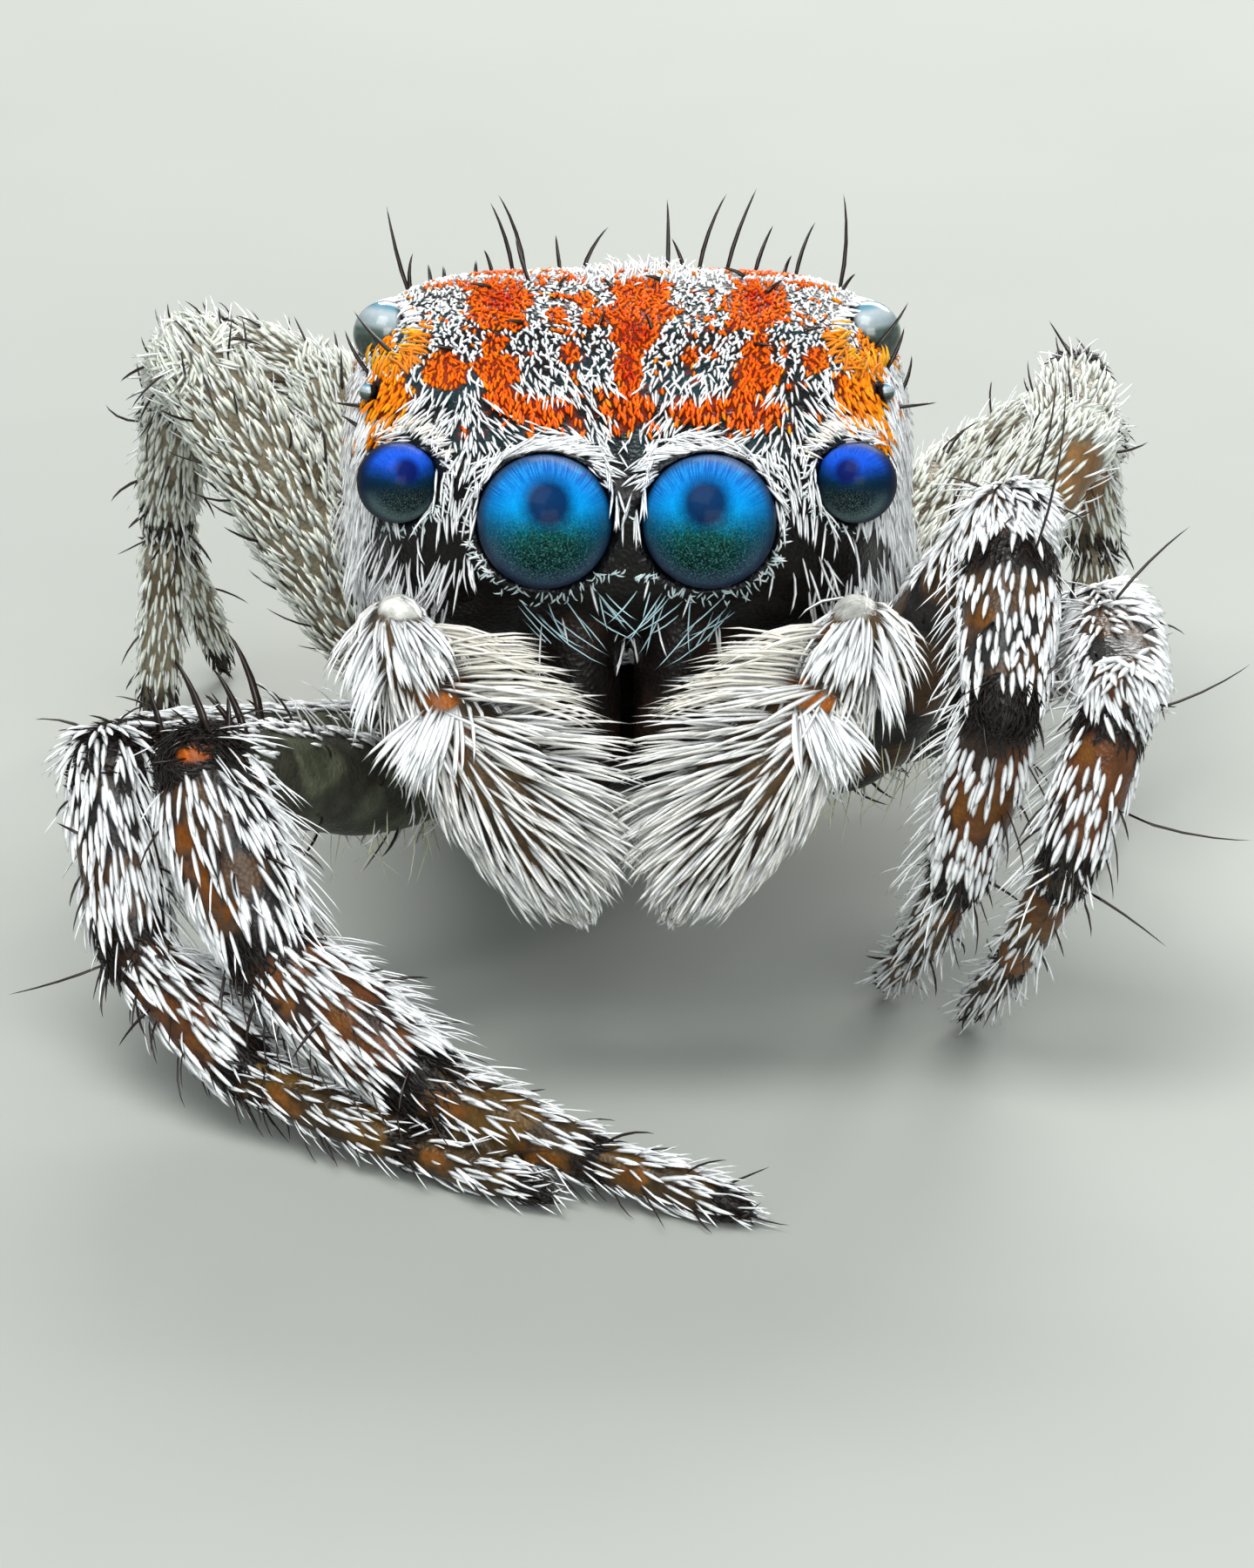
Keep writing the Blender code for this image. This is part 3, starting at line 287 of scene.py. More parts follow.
class Shell:
    """The carapace or the abdomen: points are found by the share along it and the turn from its left up."""

    net = (70, 64)

    def __init__(self, name, stations, box, depth, samples=90):
        self.name = name
        self.box = box
        table = np.array(stations, float)
        table[:, 1] = np.maximum(table[:, 1] - depth, 0.012)
        table[:, 2] += np.minimum(depth, 0.4 * (table[:, 3] - table[:, 2]))
        table[:, 4] -= np.minimum(depth, 0.4 * (table[:, 4] - table[:, 3]))
        table[:, 0] += depth * np.linspace(1, -1, len(table)) ** 3
        steps = np.hypot(np.diff(table[:, 0]), np.diff(table[:, 1]) * 0.7)
        places = np.concatenate(([0.0], np.cumsum(steps + np.abs(np.diff(table[:, 4])) * 0.5)))
        self.length = places[-1]
        self.shares = np.linspace(0, 1, samples)
        along = self.shares * self.length
        self.table = np.stack([np.interp(along, places, table[:, i]) for i in range(5)], 1)
        evened(self.table, 2)
        steps = np.linspace(0, 1, 720, endpoint=False)
        steps = steps ** 3 / (steps ** 3 + (1 - steps) ** 3)
        turns = np.append(np.concatenate([(k + steps) * math.pi / 2 for k in range(4)]), 2 * math.pi)
        steps = np.linalg.norm(np.diff(self.point(np.full(len(turns), 0.45), turns), axis=0), axis=1)
        self.even = np.concatenate(([0.0], np.cumsum(steps))) / steps.sum(), turns

    def turn_at(self, part):
        """The turn that lies at an even part of the way round."""
        return np.interp(np.asarray(part) % 1, *self.even)

    def point(self, share, turn, proud=0.0):
        y, half, lowest, widest, highest = (np.interp(share, self.shares, self.table[:, i]) for i in range(5))
        power = np.where(np.sin(turn) > 0, 2 / self.box[1], 2 / self.box[0])
        across = np.sign(np.cos(turn)) * np.abs(np.cos(turn)) ** power
        upward = np.sign(np.sin(turn)) * np.abs(np.sin(turn)) ** power
        rise = np.where(upward > 0, highest - widest, widest - lowest)
        return np.stack([(half + proud) * across, y + 0 * turn, widest + (rise + proud) * upward], -1)

    def at(self, share, turn):
        place = self.point(share, turn)
        ahead = self.point(np.minimum(share + 0.01, 1), turn) - self.point(np.maximum(share - 0.01, 0), turn)
        round_it = self.point(share, turn + 0.03) - self.point(share, turn - 0.03)
        outward = unit(np.cross(ahead, round_it))
        centre = np.interp(share, self.shares, self.table[:, 3])
        away = place - np.stack([0 * place[..., 0], place[..., 1], centre + 0 * place[..., 0]], -1)
        outward = outward * np.sign((outward * away).sum(-1, keepdims=True) + 1e-9)
        return place, outward, unit(ahead)

    def stretch(self, share, part):
        """Area of the surface for each unit of share and of the way round."""
        turn, back, on = self.turn_at(part), self.turn_at(part - 0.002), self.turn_at(part + 0.002)
        ahead = self.point(share + 0.004, turn) - self.point(share - 0.004, turn)
        round_it = self.point(share, on) - self.point(share, back)
        return np.linalg.norm(np.cross(ahead / 0.008, round_it / 0.004), axis=1)

    def widest_stretch(self):
        """A stretch that nearly none of the surface passes."""
        share, part = grid(np.linspace(0.02, 0.98, 60), (np.arange(96) + 0.5) / 96)
        return np.percentile(self.stretch(share, part), 97)

    def rings(self, sides=72):
        turns = self.turn_at(np.arange(sides) / sides)
        return [self.point(np.full(sides, s), turns) for s in self.shares]


def grid(first, second):
    """All pairs of two rows of values, as two flat rows."""
    return (values.ravel() for values in np.meshgrid(first, second))


class Ball(Round):
    """An ellipsoid along Y."""

    def __init__(self, name, middle, half, depth=0.01):
        self.name = name
        self.middle = vec(middle)
        self.half = vec(half) - depth

    def at(self, share, turn):
        """Points, as the first of a row as with the other shapes. No hair grows on a ball."""
        swing = (share - 0.5) * math.pi * 0.98
        flat = np.stack([np.cos(swing) * np.cos(turn), np.sin(swing), np.cos(swing) * np.sin(turn)], -1)
        return (self.middle + flat * self.half,)

    def rings(self, sides=32):
        turns = np.linspace(0, 2 * math.pi, sides, endpoint=False)
        return [self.at(np.full(sides, s), turns)[0] for s in np.linspace(0.02, 0.98, 24)]


def bezier(a, b, c, share):
    return a * (1 - share) ** 2 + b * 2 * share * (1 - share) + c * share ** 2


def shin_chain(knee, toe, lengths, shares, bow):
    """Joints of four links from the knee to the toe, bent in one plane towards the bow."""
    along = unit(toe - knee)
    side = unit(bow - along * bow.dot(along))
    reach = np.linalg.norm(toe - knee)

    def ends(total):
        turn = 0.0
        points = [np.zeros(2)]
        for length, share in zip(lengths, (0.0, *shares)):
            turn += share * total
            points.append(points[-1] + length * vec((math.cos(turn), -math.sin(turn))))
        return points

    low, high = 0.0, math.radians(175)
    for _ in range(40):
        middle = (low + high) / 2
        if np.linalg.norm(ends(middle)[-1]) > reach:
            low = middle
        else:
            high = middle
    points = ends(low)
    tilt = -math.atan2(points[-1][1], points[-1][0])
    return [
        knee
        + along * (p[0] * math.cos(tilt) - p[1] * math.sin(tilt))
        + side * (p[0] * math.sin(tilt) + p[1] * math.cos(tilt))
        for p in points
    ]


def thigh_limb(name, root, hip, knee, sweep, coxa, femur, last, back):
    """Coxa and femur: a curve from the root over the hip, and straight on to the knee."""
    thigh = hip + unit(knee - hip) * sweep
    path = [bezier(root, hip, thigh, s) for s in (0.0, 0.25, 0.5, 0.75, 1.0)]
    path += [thigh + (knee - thigh) * s for s in (0.4, 0.75, 1.0)]
    radii = (coxa, coxa, 0.95 * coxa, 0.5 * (coxa + femur), femur, femur, 0.96 * femur, last * femur)
    return Limb(name, path, radii, back)


def segment_limb(name, start, end, radius, back):
    path = [start + (end - start) * share for share, _ in SEGMENT_SHAPE]
    return Limb(name, path, [radius * fat for _, fat in SEGMENT_SHAPE], back)


def leg_limbs(word, number):
    side = SIDES[word]
    knee, toe, bow = (vec(p) for p in POSE[word, number])
    joints = shin_chain(knee, toe, SHIN_LENGTHS[number], BEND_SHARES[number], bow)
    coxa, femur, *thinner = LEG_RADII[number]
    fuller = FULLER.get((word, number), (1.0,) * 4)
    patella, tibia, metatarsus, tarsus = (r * more for r, more in zip(thinner, fuller))
    root, hip = (mirrored(place[number], side) for place in (COXA_ROOT, HIP))
    label = "leg_%d_%s_" % (number, word)
    limbs = {"femur": thigh_limb(label + "femur", root, hip, knee, HIP_SWEEP, coxa, femur, 0.86, UP)}
    limbs["patella"] = segment_limb(label + "patella", joints[0], joints[1], patella, bow)
    limbs["tibia"] = segment_limb(label + "tibia", joints[1], joints[2], tibia, bow)
    heel, middle, toe = joints[2:]
    path = [heel + (middle - heel) * s for s in (0.0, 0.25, 0.7, 0.94, 1.0)]
    path += [middle + (toe - middle) * s for s in (0.12, 0.4, 0.75, 1.0)]
    radii = [metatarsus * s for s in (0.9, 1.0, 0.95, 0.86, 0.80)]
    radii += [tarsus * s for s in (0.92, 1.0, 0.95, 0.72)]
    limbs["foot"] = Limb(label + "foot", path, radii, bow, depth=0.022)
    return limbs


def palp_limbs(word):
    side = SIDES[word]
    root, hip, knee, bend, wrist, middle, tip = (
        mirrored(p, side)
        for p in (PALP_ROOT, PALP_HIP, PALP_KNEE, PALP_BEND, PALP_WRIST, BULB_MIDDLE, BULB_TIP)
    )
    coxa, femur, patella, tibia, bulb = PALP_RADII.values()
    label = "palp_" + word + "_"
    limbs = {"femur": thigh_limb(label + "femur", root, hip, knee, PALP_SWEEP, coxa, femur, 0.9, FRONT)}
    path = [bezier(knee, bend, wrist, s) for s in (0.0, 0.3, 0.6, 1.0)]
    limbs["tibia"] = Limb(label + "tibia", path, [0.9 * patella, patella, tibia, 0.9 * tibia], FRONT)
    path = [bezier(wrist, middle, tip, share) for share, _ in BULB_SHAPE]
    limbs["bulb"] = Limb(label + "bulb", path, [bulb * fat for _, fat in BULB_SHAPE], FRONT, 0.012)
    return limbs


# Meshes.


def to_frame(points):
    return (np.asarray(points, float) - ORIGIN) * MM


def placed(name, data):
    """A new object in the scene."""
    made = bpy.data.objects.new(name, data)
    bpy.context.scene.collection.objects.link(made)
    return made


def put_colours(mesh, colours):
    """Store the colours of the points, which the materials read by the name hue."""
    layer = mesh.color_attributes.new("hue", "FLOAT_COLOR", "POINT")
    full = np.ones((len(colours), 4), np.float32)
    full[:, :3] = colours
    layer.data.foreach_set("color", full.ravel())


def closed_rings(rings):
    """Points and faces of a closed skin over rings of equal count."""
    count = len(rings[0])
    points = np.concatenate(rings)
    faces = [tuple(range(count))[::-1]]
    for low in range(0, (len(rings) - 1) * count, count):
        for i in range(count):
            j = (i + 1) % count
            faces.append((low + i, low + j, low + count + j, low + count + i))
    faces.append(tuple(range((len(rings) - 1) * count, len(rings) * count)))
    return points, faces


def torus_rings(middle, axis, major, minor, sides=48):
    """Points and faces of a ring of skin round an axis."""
    first = unit(np.cross(axis, UP))
    second = np.cross(axis, first)
    points, faces = [], []
    thin = 10
    for i in range(sides):
        a = 2 * math.pi * i / sides
        out = first * math.cos(a) + second * math.sin(a)
        for j in range(thin):
            b = 2 * math.pi * j / thin
            points.append(middle + out * (major + minor * math.cos(b)) + axis * minor * math.sin(b))
            k, m = (i + 1) % sides, (j + 1) % thin
            faces.append((i * thin + j, k * thin + j, k * thin + m, i * thin + m))
    return np.array(points), faces


def eye_axis(kind, side):
    """The way an eye's socket faces."""
    yaw = math.radians(EYES[kind][4])
    return unit(vec((side * math.sin(yaw), -math.cos(yaw), SOCKET_RISE[kind])))


def eye_look(kind, side):
    """The way the pattern in an eye looks."""
    yaw, up = (math.radians(a) for a in LOOKS[kind])
    return vec((side * math.sin(yaw) * math.cos(up), -math.cos(yaw) * math.cos(up), math.sin(up)))


def eye_middle(kind, side):
    return mirrored(EYES[kind][:3], side)


def flap_rings(shell, side):
    """The folded side flap of the fan, as a thin plate along the flank."""
    rings = []
    turns = np.linspace(*(math.radians(t) for t in FLAP_TURNS), 12)
    for y in np.linspace(*FLAP_SPAN, 24):
        share = float(np.interp(y, shell.table[:, 0], shell.shares))
        grow = (y - FLAP_SPAN[0]) / (FLAP_SPAN[1] - FLAP_SPAN[0])
        proud = FLAP_PROUD * (0.35 + 0.65 * math.sin(math.pi * grow))
        outer = shell.point(np.full(12, share), turns, proud)
        inner = shell.point(np.full(12, share), turns[::-1], -2 * FLAP_PROUD)
        ring = np.concatenate((outer, inner))
        ring[:, 0] *= side
        rings.append(ring)
    return rings


def raw_skin(shapes, shells):
    """All forms of flesh in one mesh of overlapping closed pieces, in millimetres."""
    points, faces, base = [], [], 0
    parts = [closed_rings(shape.rings()) for shape in shapes]
    for side in SIDES.values():
        parts.append(closed_rings(flap_rings(shells["abdomen"], side)))
        for kind, (_, _, _, radius, _) in EYES.items():
            axis = eye_axis(kind, side)
            minor, back = EYE_RINGS[kind]
            middle = eye_middle(kind, side) - axis * radius * back
            parts.append(torus_rings(middle, axis, radius * 0.99, minor))
    for some, shown in parts:
        points.append(some)
        faces += [tuple(base + i for i in face) for face in shown]
        base += len(some)
    return np.concatenate(points), faces


def remeshed(points, faces):
    """One closed surface over overlapping pieces. The work is done with one unit to the millimetre."""
    mesh = bpy.data.meshes.new("skin_source")
    mesh.from_pydata([tuple(p) for p in points], [], faces)
    made = placed("skin_source", mesh)
    remesh = made.modifiers.new("remesh", "REMESH")
    remesh.mode = "VOXEL"
    remesh.voxel_size = VOXEL
    relax = made.modifiers.new("relax", "SMOOTH")
    relax.factor = 0.5
    relax.iterations = 3
    bpy.context.view_layer.update()
    done = bpy.data.meshes.new_from_object(made.evaluated_get(bpy.context.evaluated_depsgraph_get()))
    bpy.data.objects.remove(made)
    bpy.data.meshes.remove(mesh)
    return done


def mesh_points(mesh):
    points = np.empty(len(mesh.vertices) * 3)
    mesh.vertices.foreach_get("co", points)
    return points.reshape(-1, 3)


def hollow_sockets(points):
    """Press the skin in behind each eye, so that it holds the eye as a cup."""
    for side in SIDES.values():
        for kind, (_, _, _, radius, _) in EYES.items():
            axis, middle = eye_axis(kind, side), eye_middle(kind, side)
            reach = radius + EYE_CLEAR * 0.5
            away = points - middle
            height = away @ axis
            across = away - height[:, None] * axis
            wide = np.linalg.norm(across, axis=1)
            inside = np.linalg.norm(away, axis=1) < reach
            depth = -np.sqrt(np.maximum(reach ** 2 - wide ** 2, 0))
            points[inside] = (middle + across + depth[:, None] * axis)[inside]
    return points


# Markings.


def picture_place(points):
    """Where points lie in the picture, across and down in steps of PIXEL."""
    away = points - AIM
    scale = VIEW_DISTANCE / (VIEW_DISTANCE + away @ AHEAD) / PIXEL
    return MIDLINE + away[:, 0] * scale, PICTURE[1] / 2 - (away @ RISE) * scale


def picture_way(steps):
    """Directions in space of steps across and down the picture."""
    return steps[:, :1] * ACROSS - steps[:, 1:] * RISE


def face_place(points):
    """Where a point of the head lies on the map of its markings, across and down.

    The map is the picture, and behind the highest line of the head it goes on along the back.
    """
    front = np.array(points)
    front[:, 1] = np.minimum(front[:, 1], CREST)
    across, down = picture_place(front)
    return across, down - np.maximum(points[:, 1] - CREST, 0) / PIXEL * BACK_SCALE


# Length of the back on the map for its true length.
BACK_SCALE = 0.9
# Above this row the map shows the back, where the orange lies in bands.
BACK_ROW = 296
# Small specks of orange lie above this row, and no further from the midline than this.
SPECK_ROW = 500
SPECK_OUT = 330
# Bands of the back: column, and half width. They start and end between rows of the map.
BACK_BANDS = ((720, 30), (575, 38), (865, 38))
BAND_DRIFT_ROWS = (290, -100)
BAND_END_ROWS = (-120, -40)
# Columns from the midline between which the orange turns to yellow.
YELLOW_OUT = (200, 270)
# Orange patches of the face on that map: across, down, half width, half height, turn in degrees.
ORANGE = (
    (735, 336, 38, 26, 0), (722, 361, 62, 15, -4), (727, 382, 28, 26, 0), (722, 428, 17, 34, 0),
    (720, 468, 34, 20, 0), (715, 490, 9, 9, 0), (573, 347, 38, 37, 0), (566, 393, 14, 16, 0),
    (572, 425, 27, 25, 0), (604, 467, 44, 18, 22), (632, 466, 26, 11, 0), (657, 478, 7, 13, 0),
    (870, 347, 40, 37, 0), (870, 400, 18, 20, 0), (868, 428, 32, 22, 0), (864, 468, 34, 27, 0),
    (800, 469, 42, 15, 0), (450, 460, 31, 32, 0), (440, 498, 15, 18, 0), (441, 388, 13, 18, 0),
    (512, 425, 25, 24, 0), (985, 457, 29, 33, 0), (1006, 498, 14, 20, 0), (996, 394, 13, 29, 0),
    (937, 412, 16, 14, 0), (655, 404, 9, 12, 0), (792, 408, 10, 12, 0), (640, 362, 14, 9, 0),
    (522, 318, 34, 8, 0), (930, 317, 34, 8, 0), (655, 316, 22, 6, 0), (668, 345, 14, 10, 0),
)
RED_CORE = ((727, 382, 24, 22, 0), (722, 428, 12, 30, 0), (573, 345, 20, 18, 0), (870, 345, 20, 18, 0))


def patch_depth(across, down, patches):
    """How deep in the nearest patch a place lies: 1 at the middle, 0 on its rim, below 0 outside."""
    best = np.full(len(across), -9.0)
    for x, y, wide, high, turn in patches:
        a = math.radians(turn)
        u = ((across - x) * math.cos(a) + (down - y) * math.sin(a)) / wide
        v = (-(across - x) * math.sin(a) + (down - y) * math.cos(a)) / high
        best = np.maximum(best, 1 - np.sqrt(u * u + v * v))
    return best


class Field:
    """Smooth random values in space, the same at each run."""

    def __init__(self, seed, size, count=24):
        self.random = np.random.default_rng(seed)
        ways = unit(self.random.normal(size=(count, 3)))
        self.waves = ways * self.random.uniform(0.6, 1.6, count)[:, None] * 2 * math.pi / size
        self.starts = self.random.uniform(0, 2 * math.pi, count)

    def __call__(self, points):
        return np.sin(points @ self.waves.T + self.starts).sum(1) / math.sqrt(len(self.starts) / 2)


PATCH_FIELD = Field(3, 0.09)
SPECK_FIELD = Field(5, 0.055)
TONE_FIELD = Field(8, 0.25)
CLUMP_FIELD = Field(11, 0.16)


def orange_share(points):
    """How orange the head is at a point, from 0 to 1, and how deep a red."""
    across, down = face_place(points)
    ragged = 0.20 * PATCH_FIELD(points)
    depth = patch_depth(across, down, ORANGE) + ragged * 0.5
    red = patch_depth(across, down, RED_CORE) + ragged * 0.5
    specked = (down < SPECK_ROW) * (np.abs(across - MIDLINE) < SPECK_OUT)
    specks = smooth(1.25, 1.6, SPECK_FIELD(points)) * specked
    front = down > BACK_ROW
    share = np.maximum(smooth(-0.02, 0.14, depth), 0.9 * specks) * front
    share = share + back_bands(across, down, points) * ~front
    return np.clip(share, 0, 1), smooth(0.0, 0.5, red) * front


def back_bands(across, down, points):
    """Three soft orange bands along the back of the carapace, further apart towards its hind end."""
    share = np.zeros(len(across))
    for column, wide in BACK_BANDS:
        drift = (column - MIDLINE) * 0.2 * smooth(*BAND_DRIFT_ROWS, down) + 12 * TONE_FIELD(points)
        edge = np.abs(across - column - drift) + 11 * PATCH_FIELD(points)
        share = np.maximum(share, smooth(wide + 16, wide - 10, edge))
    return share * smooth(*BAND_END_ROWS, down)


WHITE = hue(250, 253, 253)
CREAM = hue(246, 242, 230)
PALE_GREEN = hue(236, 240, 228)
YELLOW = hue(252, 180, 30)
ORANGE_RIM = hue(252, 146, 8)
ORANGE_CORE = hue(238, 86, 2)
RED = hue(204, 40, 0)
SILK = hue(214, 236, 236)
BLACK_SKIN = hue(12, 14, 14)
TEAL_SKIN = hue(18, 40, 44)
DARK_FACE = hue(9, 7, 6)
# Dark skin round the eyes, which also stands for painted shade in their sockets.
SOCKET_SKIN_AND_SHADE = hue(8, 10, 14)
ORANGE_SKIN = hue(112, 62, 8)
TAN_SKIN = hue(106, 66, 24)
RED_SKIN = hue(118, 30, 0)
SPOT_SKIN = hue(148, 70, 6)
PALP_SPOT_SKIN = hue(138, 74, 14)
PALP_CAP_SKIN = hue(206, 208, 200)
HIND_PATCH_SKIN = hue(124, 92, 56)
RING_SKIN = hue(20, 13, 10)
HIND_RING_SKIN = hue(40, 30, 22)
DARK_HAIR = hue(24, 19, 15)
# Two tones of the bare skin of the other shapes.
SKINS = {
    "carapace": (BLACK_SKIN, TEAL_SKIN),
    "abdomen": (hue(74, 50, 30), hue(40, 34, 30)),
    "hind": (hue(140, 130, 108), hue(86, 76, 58)),
    "palp": (hue(96, 76, 50), hue(52, 44, 34)),
    "under": (hue(18, 13, 11), hue(34, 23, 17)),
}
# Rows of the picture between which the face turns dark below the eyes.
DARK_ROWS = (500, 560)


def head_colour(points, random):
    """Colour of each scale of the head by its root."""
    share, red = orange_share(points)
    across, _ = face_place(points)
    count = len(points)
    rim = 1 - smooth(0.3, 1.0, share) + 0.8 * smooth(*YELLOW_OUT, np.abs(across - MIDLINE))
    orange = blend_hues(ORANGE_CORE, ORANGE_RIM, np.clip(rim * 0.7 + random.uniform(0, 0.45, count), 0, 1))
    orange = blend_hues(orange, YELLOW, np.clip(rim * random.uniform(-0.6, 0.8, count), 0, 1))
    orange = blend_hues(orange, RED, np.clip(red * random.uniform(0.3, 1.1, count), 0, 1))
    chosen = share > random.uniform(0.35, 0.65, count)
    tone = random.uniform(0.82, 1.04, count)[:, None]
    return np.where(chosen[:, None], orange * (tone - 0.04), WHITE * tone), chosen


def skin_colour(label, points, share, turn):
    """Colour of the bare skin of each shape."""
    tones = TONE_FIELD(points)
    kind, *more = label.split("_")
    if kind == "carapace":
        colour = blend_hues(*SKINS[kind], smooth(-0.5, 0.8, tones))
        colour = blend_hues(colour, DARK_FACE, smooth(*DARK_ROWS, picture_place(points)[1]))
        colour = blend_hues(colour, RED_SKIN, orange_share(points)[0] * 0.9)
    elif kind == "abdomen":
        colour = blend_hues(*SKINS[kind], smooth(1.3, 1.0, points[:, 2]))
    elif kind == "leg":
        number, word, part = more
        colour = leg_skin_colour(word, int(number), part, points, share, turn)
    elif kind == "palp":
        colour = blend_hues(*SKINS[kind], smooth(-0.5, 0.8, tones))
        colour = blend_hues(colour, PALP_CAP_SKIN, palp_cap(points))
        colour = blend_hues(colour, PALP_SPOT_SKIN, palp_bare(points))
    else:
        colour = blend_hues(*SKINS["under"], smooth(-0.4, 0.9, tones))
    return colour * (1 + 0.18 * tones[:, None])


def leg_skin_colour(word, number, part, points, share, turn):
    """Skin of a leg, with its dark rings and bare patches."""
    tones = TONE_FIELD(points)
    ring = dark_ring(word, number, part, share)
    spot = picture_bare(word, number, part, points)
    if number > 2:
        colour = blend_hues(*SKINS["hind"], smooth(-0.3, 0.9, tones))
        colour = blend_hues(colour, HIND_PATCH_SKIN, spot)
        return blend_hues(colour, HIND_RING_SKIN, 0.7 * ring)
    of_part = "patella" if word == "left" and part == "femur" else part
    bright = (word, number, part) == ("right", 1, "patella")
    colour = blend_hues(*LEG_SKIN[of_part], smooth(-0.6, 0.5, tones))
    colour = blend_hues(colour, RING_SKIN, ring)
    bare = bare_patch(word, number, part, share, turn, points)
    return blend_hues(blend_hues(colour, ORANGE_SKIN if bright else TAN_SKIN, bare), SPOT_SKIN, spot)


# Skin of the front legs between their scales: the usual colour, and that of the darker places.
LEG_SKIN = {
    "femur": (hue(84, 88, 70), hue(46, 46, 38)), "patella": (hue(84, 62, 42), hue(36, 35, 34)),
    "tibia": (hue(104, 62, 32), hue(46, 34, 27)), "foot": (hue(98, 72, 30), hue(54, 42, 24)),
}
# Bare shiny patches of the front legs: share along the length, degrees round it, and half of each extent.
BARE = {
    ("right", 1): {
        "patella": ((0.36, -64, 0.13, 14), (0.58, -74, 0.15, 14), (0.76, -84, 0.07, 9)),
        "tibia": ((0.24, -70, 0.09, 13), (0.68, -52, 0.08, 12), (0.50, -104, 0.07, 9)),
        "foot": ((0.10, -80, 0.07, 30), (0.44, -60, 0.07, 20), (0.70, -90, 0.05, 30)),
    },
    ("right", 2): {
        "tibia": ((0.30, -60, 0.10, 10), (0.72, -70, 0.09, 9)),
        "foot": ((0.14, -70, 0.06, 30), (0.66, -80, 0.06, 30)),
    },
    ("left", 1): {
        "patella": ((0.64, 50, 0.05, 26),),
        "tibia": ((0.52, -10, 0.10, 75),),
        "foot": ((0.18, 0, 0.08, 80), (0.72, 0, 0.06, 75)),
    },
    ("left", 2): {
        "patella": ((0.62, -20, 0.05, 50),),
        "tibia": ((0.36, 40, 0.05, 24),),
        "foot": ((0.13, 0, 0.09, 85), (0.46, 0, 0.07, 75)),
    },
}


def bare_patch(word, number, part, share, turn, points):
    """How bare a front leg is at a place, from 0 to 1."""
    best = np.full(len(points), -9.0)
    for along, degrees, long, wide in BARE[word, number].get(part, ()):
        aside = (turn - math.radians(degrees) + math.pi) % (2 * math.pi) - math.pi
        best = np.maximum(best, 1 - np.hypot((share - along) / long, aside / math.radians(wide)))
    return smooth(-0.15, 0.2, best + 0.22 * PATCH_FIELD(points))


# Bare places of the legs in the picture: across, down and half extents, for the leg that shows them.
PICTURE_BARE = {("right", 1): (222, 866, 19, 10), ("left", 3): (1240, 550, 30, 46)}


def picture_bare(word, number, part, points):
    """How bare a leg is where the picture shows the orange skin of a knee or the brown of a hind leg."""
    if (word, number) not in PICTURE_BARE or part == "foot":
        return np.zeros(len(points))
    x, y, wide, high = PICTURE_BARE[word, number]
    across, down = picture_place(points)
    return smooth(1.2, 0.75, np.hypot((across - x) / wide, (down - y) / high))


# Dark rings of the legs: the shares along each length between which they lie.
RINGS = {
    "usual": {
        "patella": ((0.84, 1.3),), "tibia": ((-0.3, 0.02), (0.84, 1.3)), "foot": ((0.51, 0.59), (0.92, 1.4)),
    },
    ("right", 1): {
        "femur": ((0.92, 1.3),), "patella": ((-0.3, 0.03), (0.86, 1.3)), "tibia": ((-0.3, 0.05), (0.86, 1.3)),
        "foot": ((-0.3, 0.03), (0.51, 0.59), (0.92, 1.4)),
    },
    ("right", 2): {
        "femur": ((0.88, 1.3),), "patella": ((0.86, 1.3),), "tibia": ((-0.3, 0.04), (0.84, 1.3)),
        "foot": ((0.51, 0.59), (0.92, 1.4)),
    },
    ("left", 1): {
        "patella": ((0.17, 0.33), (0.97, 1.3)), "tibia": ((-0.3, 0.16), (0.92, 1.3)),
        "foot": ((-0.3, 0.04), (0.50, 0.58), (0.92, 1.4)),
    },
    ("left", 2): {
        "tibia": ((0.05, 0.25), (0.86, 1.3)), "foot": ((0.51, 0.59), (0.92, 1.4)),
    },
}
RING_EDGE = 0.03


def dark_ring(word, number, part, share):
    """The dark rings at the ends of a leg's lengths."""
    ring = 0 * share
    for first, last in RINGS.get((word, number), RINGS["usual"]).get(part, ()):
        inside = np.minimum(share - first, last - share)
        ring = np.maximum(ring, smooth(-RING_EDGE, RING_EDGE, inside))
    return ring


# Bare places at the joints of the palps in the picture: out from the midline, down, and half extents.
PALP_BARE = ((216, 806, 22, 13), (190, 782, 13, 11), (226, 724, 11, 10), (192, 856, 5, 36))
# The white cap on the knee of a palp, in the same way.
PALP_CAP = (258, 694, 28, 19)


def palp_cap(points):
    """The smooth white cap on the knee of a palp, from 0 to 1."""
    across, down = picture_place(points)
    x, y, wide, high = PALP_CAP
    return smooth(1.1, 0.8, np.hypot((np.abs(across - MIDLINE) - x) / wide, (down - y) / high))


def palp_bare(points):
    """How bare the front of a palp is at a place, from 0 to 1."""
    across, down = picture_place(points)
    out = np.abs(across - MIDLINE)
    best = np.full(len(points), -9.0)
    for x, y, wide, high in PALP_BARE:
        best = np.maximum(best, 1 - np.hypot((out - x) / wide, (down - y) / high))
    return smooth(-0.1, 0.2, best + 0.15 * PATCH_FIELD(points))


# Hair.

# Steps that spread pairs of shares evenly over a square, and how far they are jittered.
EVEN_STEPS = (0.7548776662466927, 0.5698402909980532)
JITTER = 0.25
ROOT_DEPTH = 0.012
# Side of a hair's patch on the bake map, and half the gap between the boxes of two shapes.
PATCH_SIDE = 0.003
BOX_GAP = 0.004
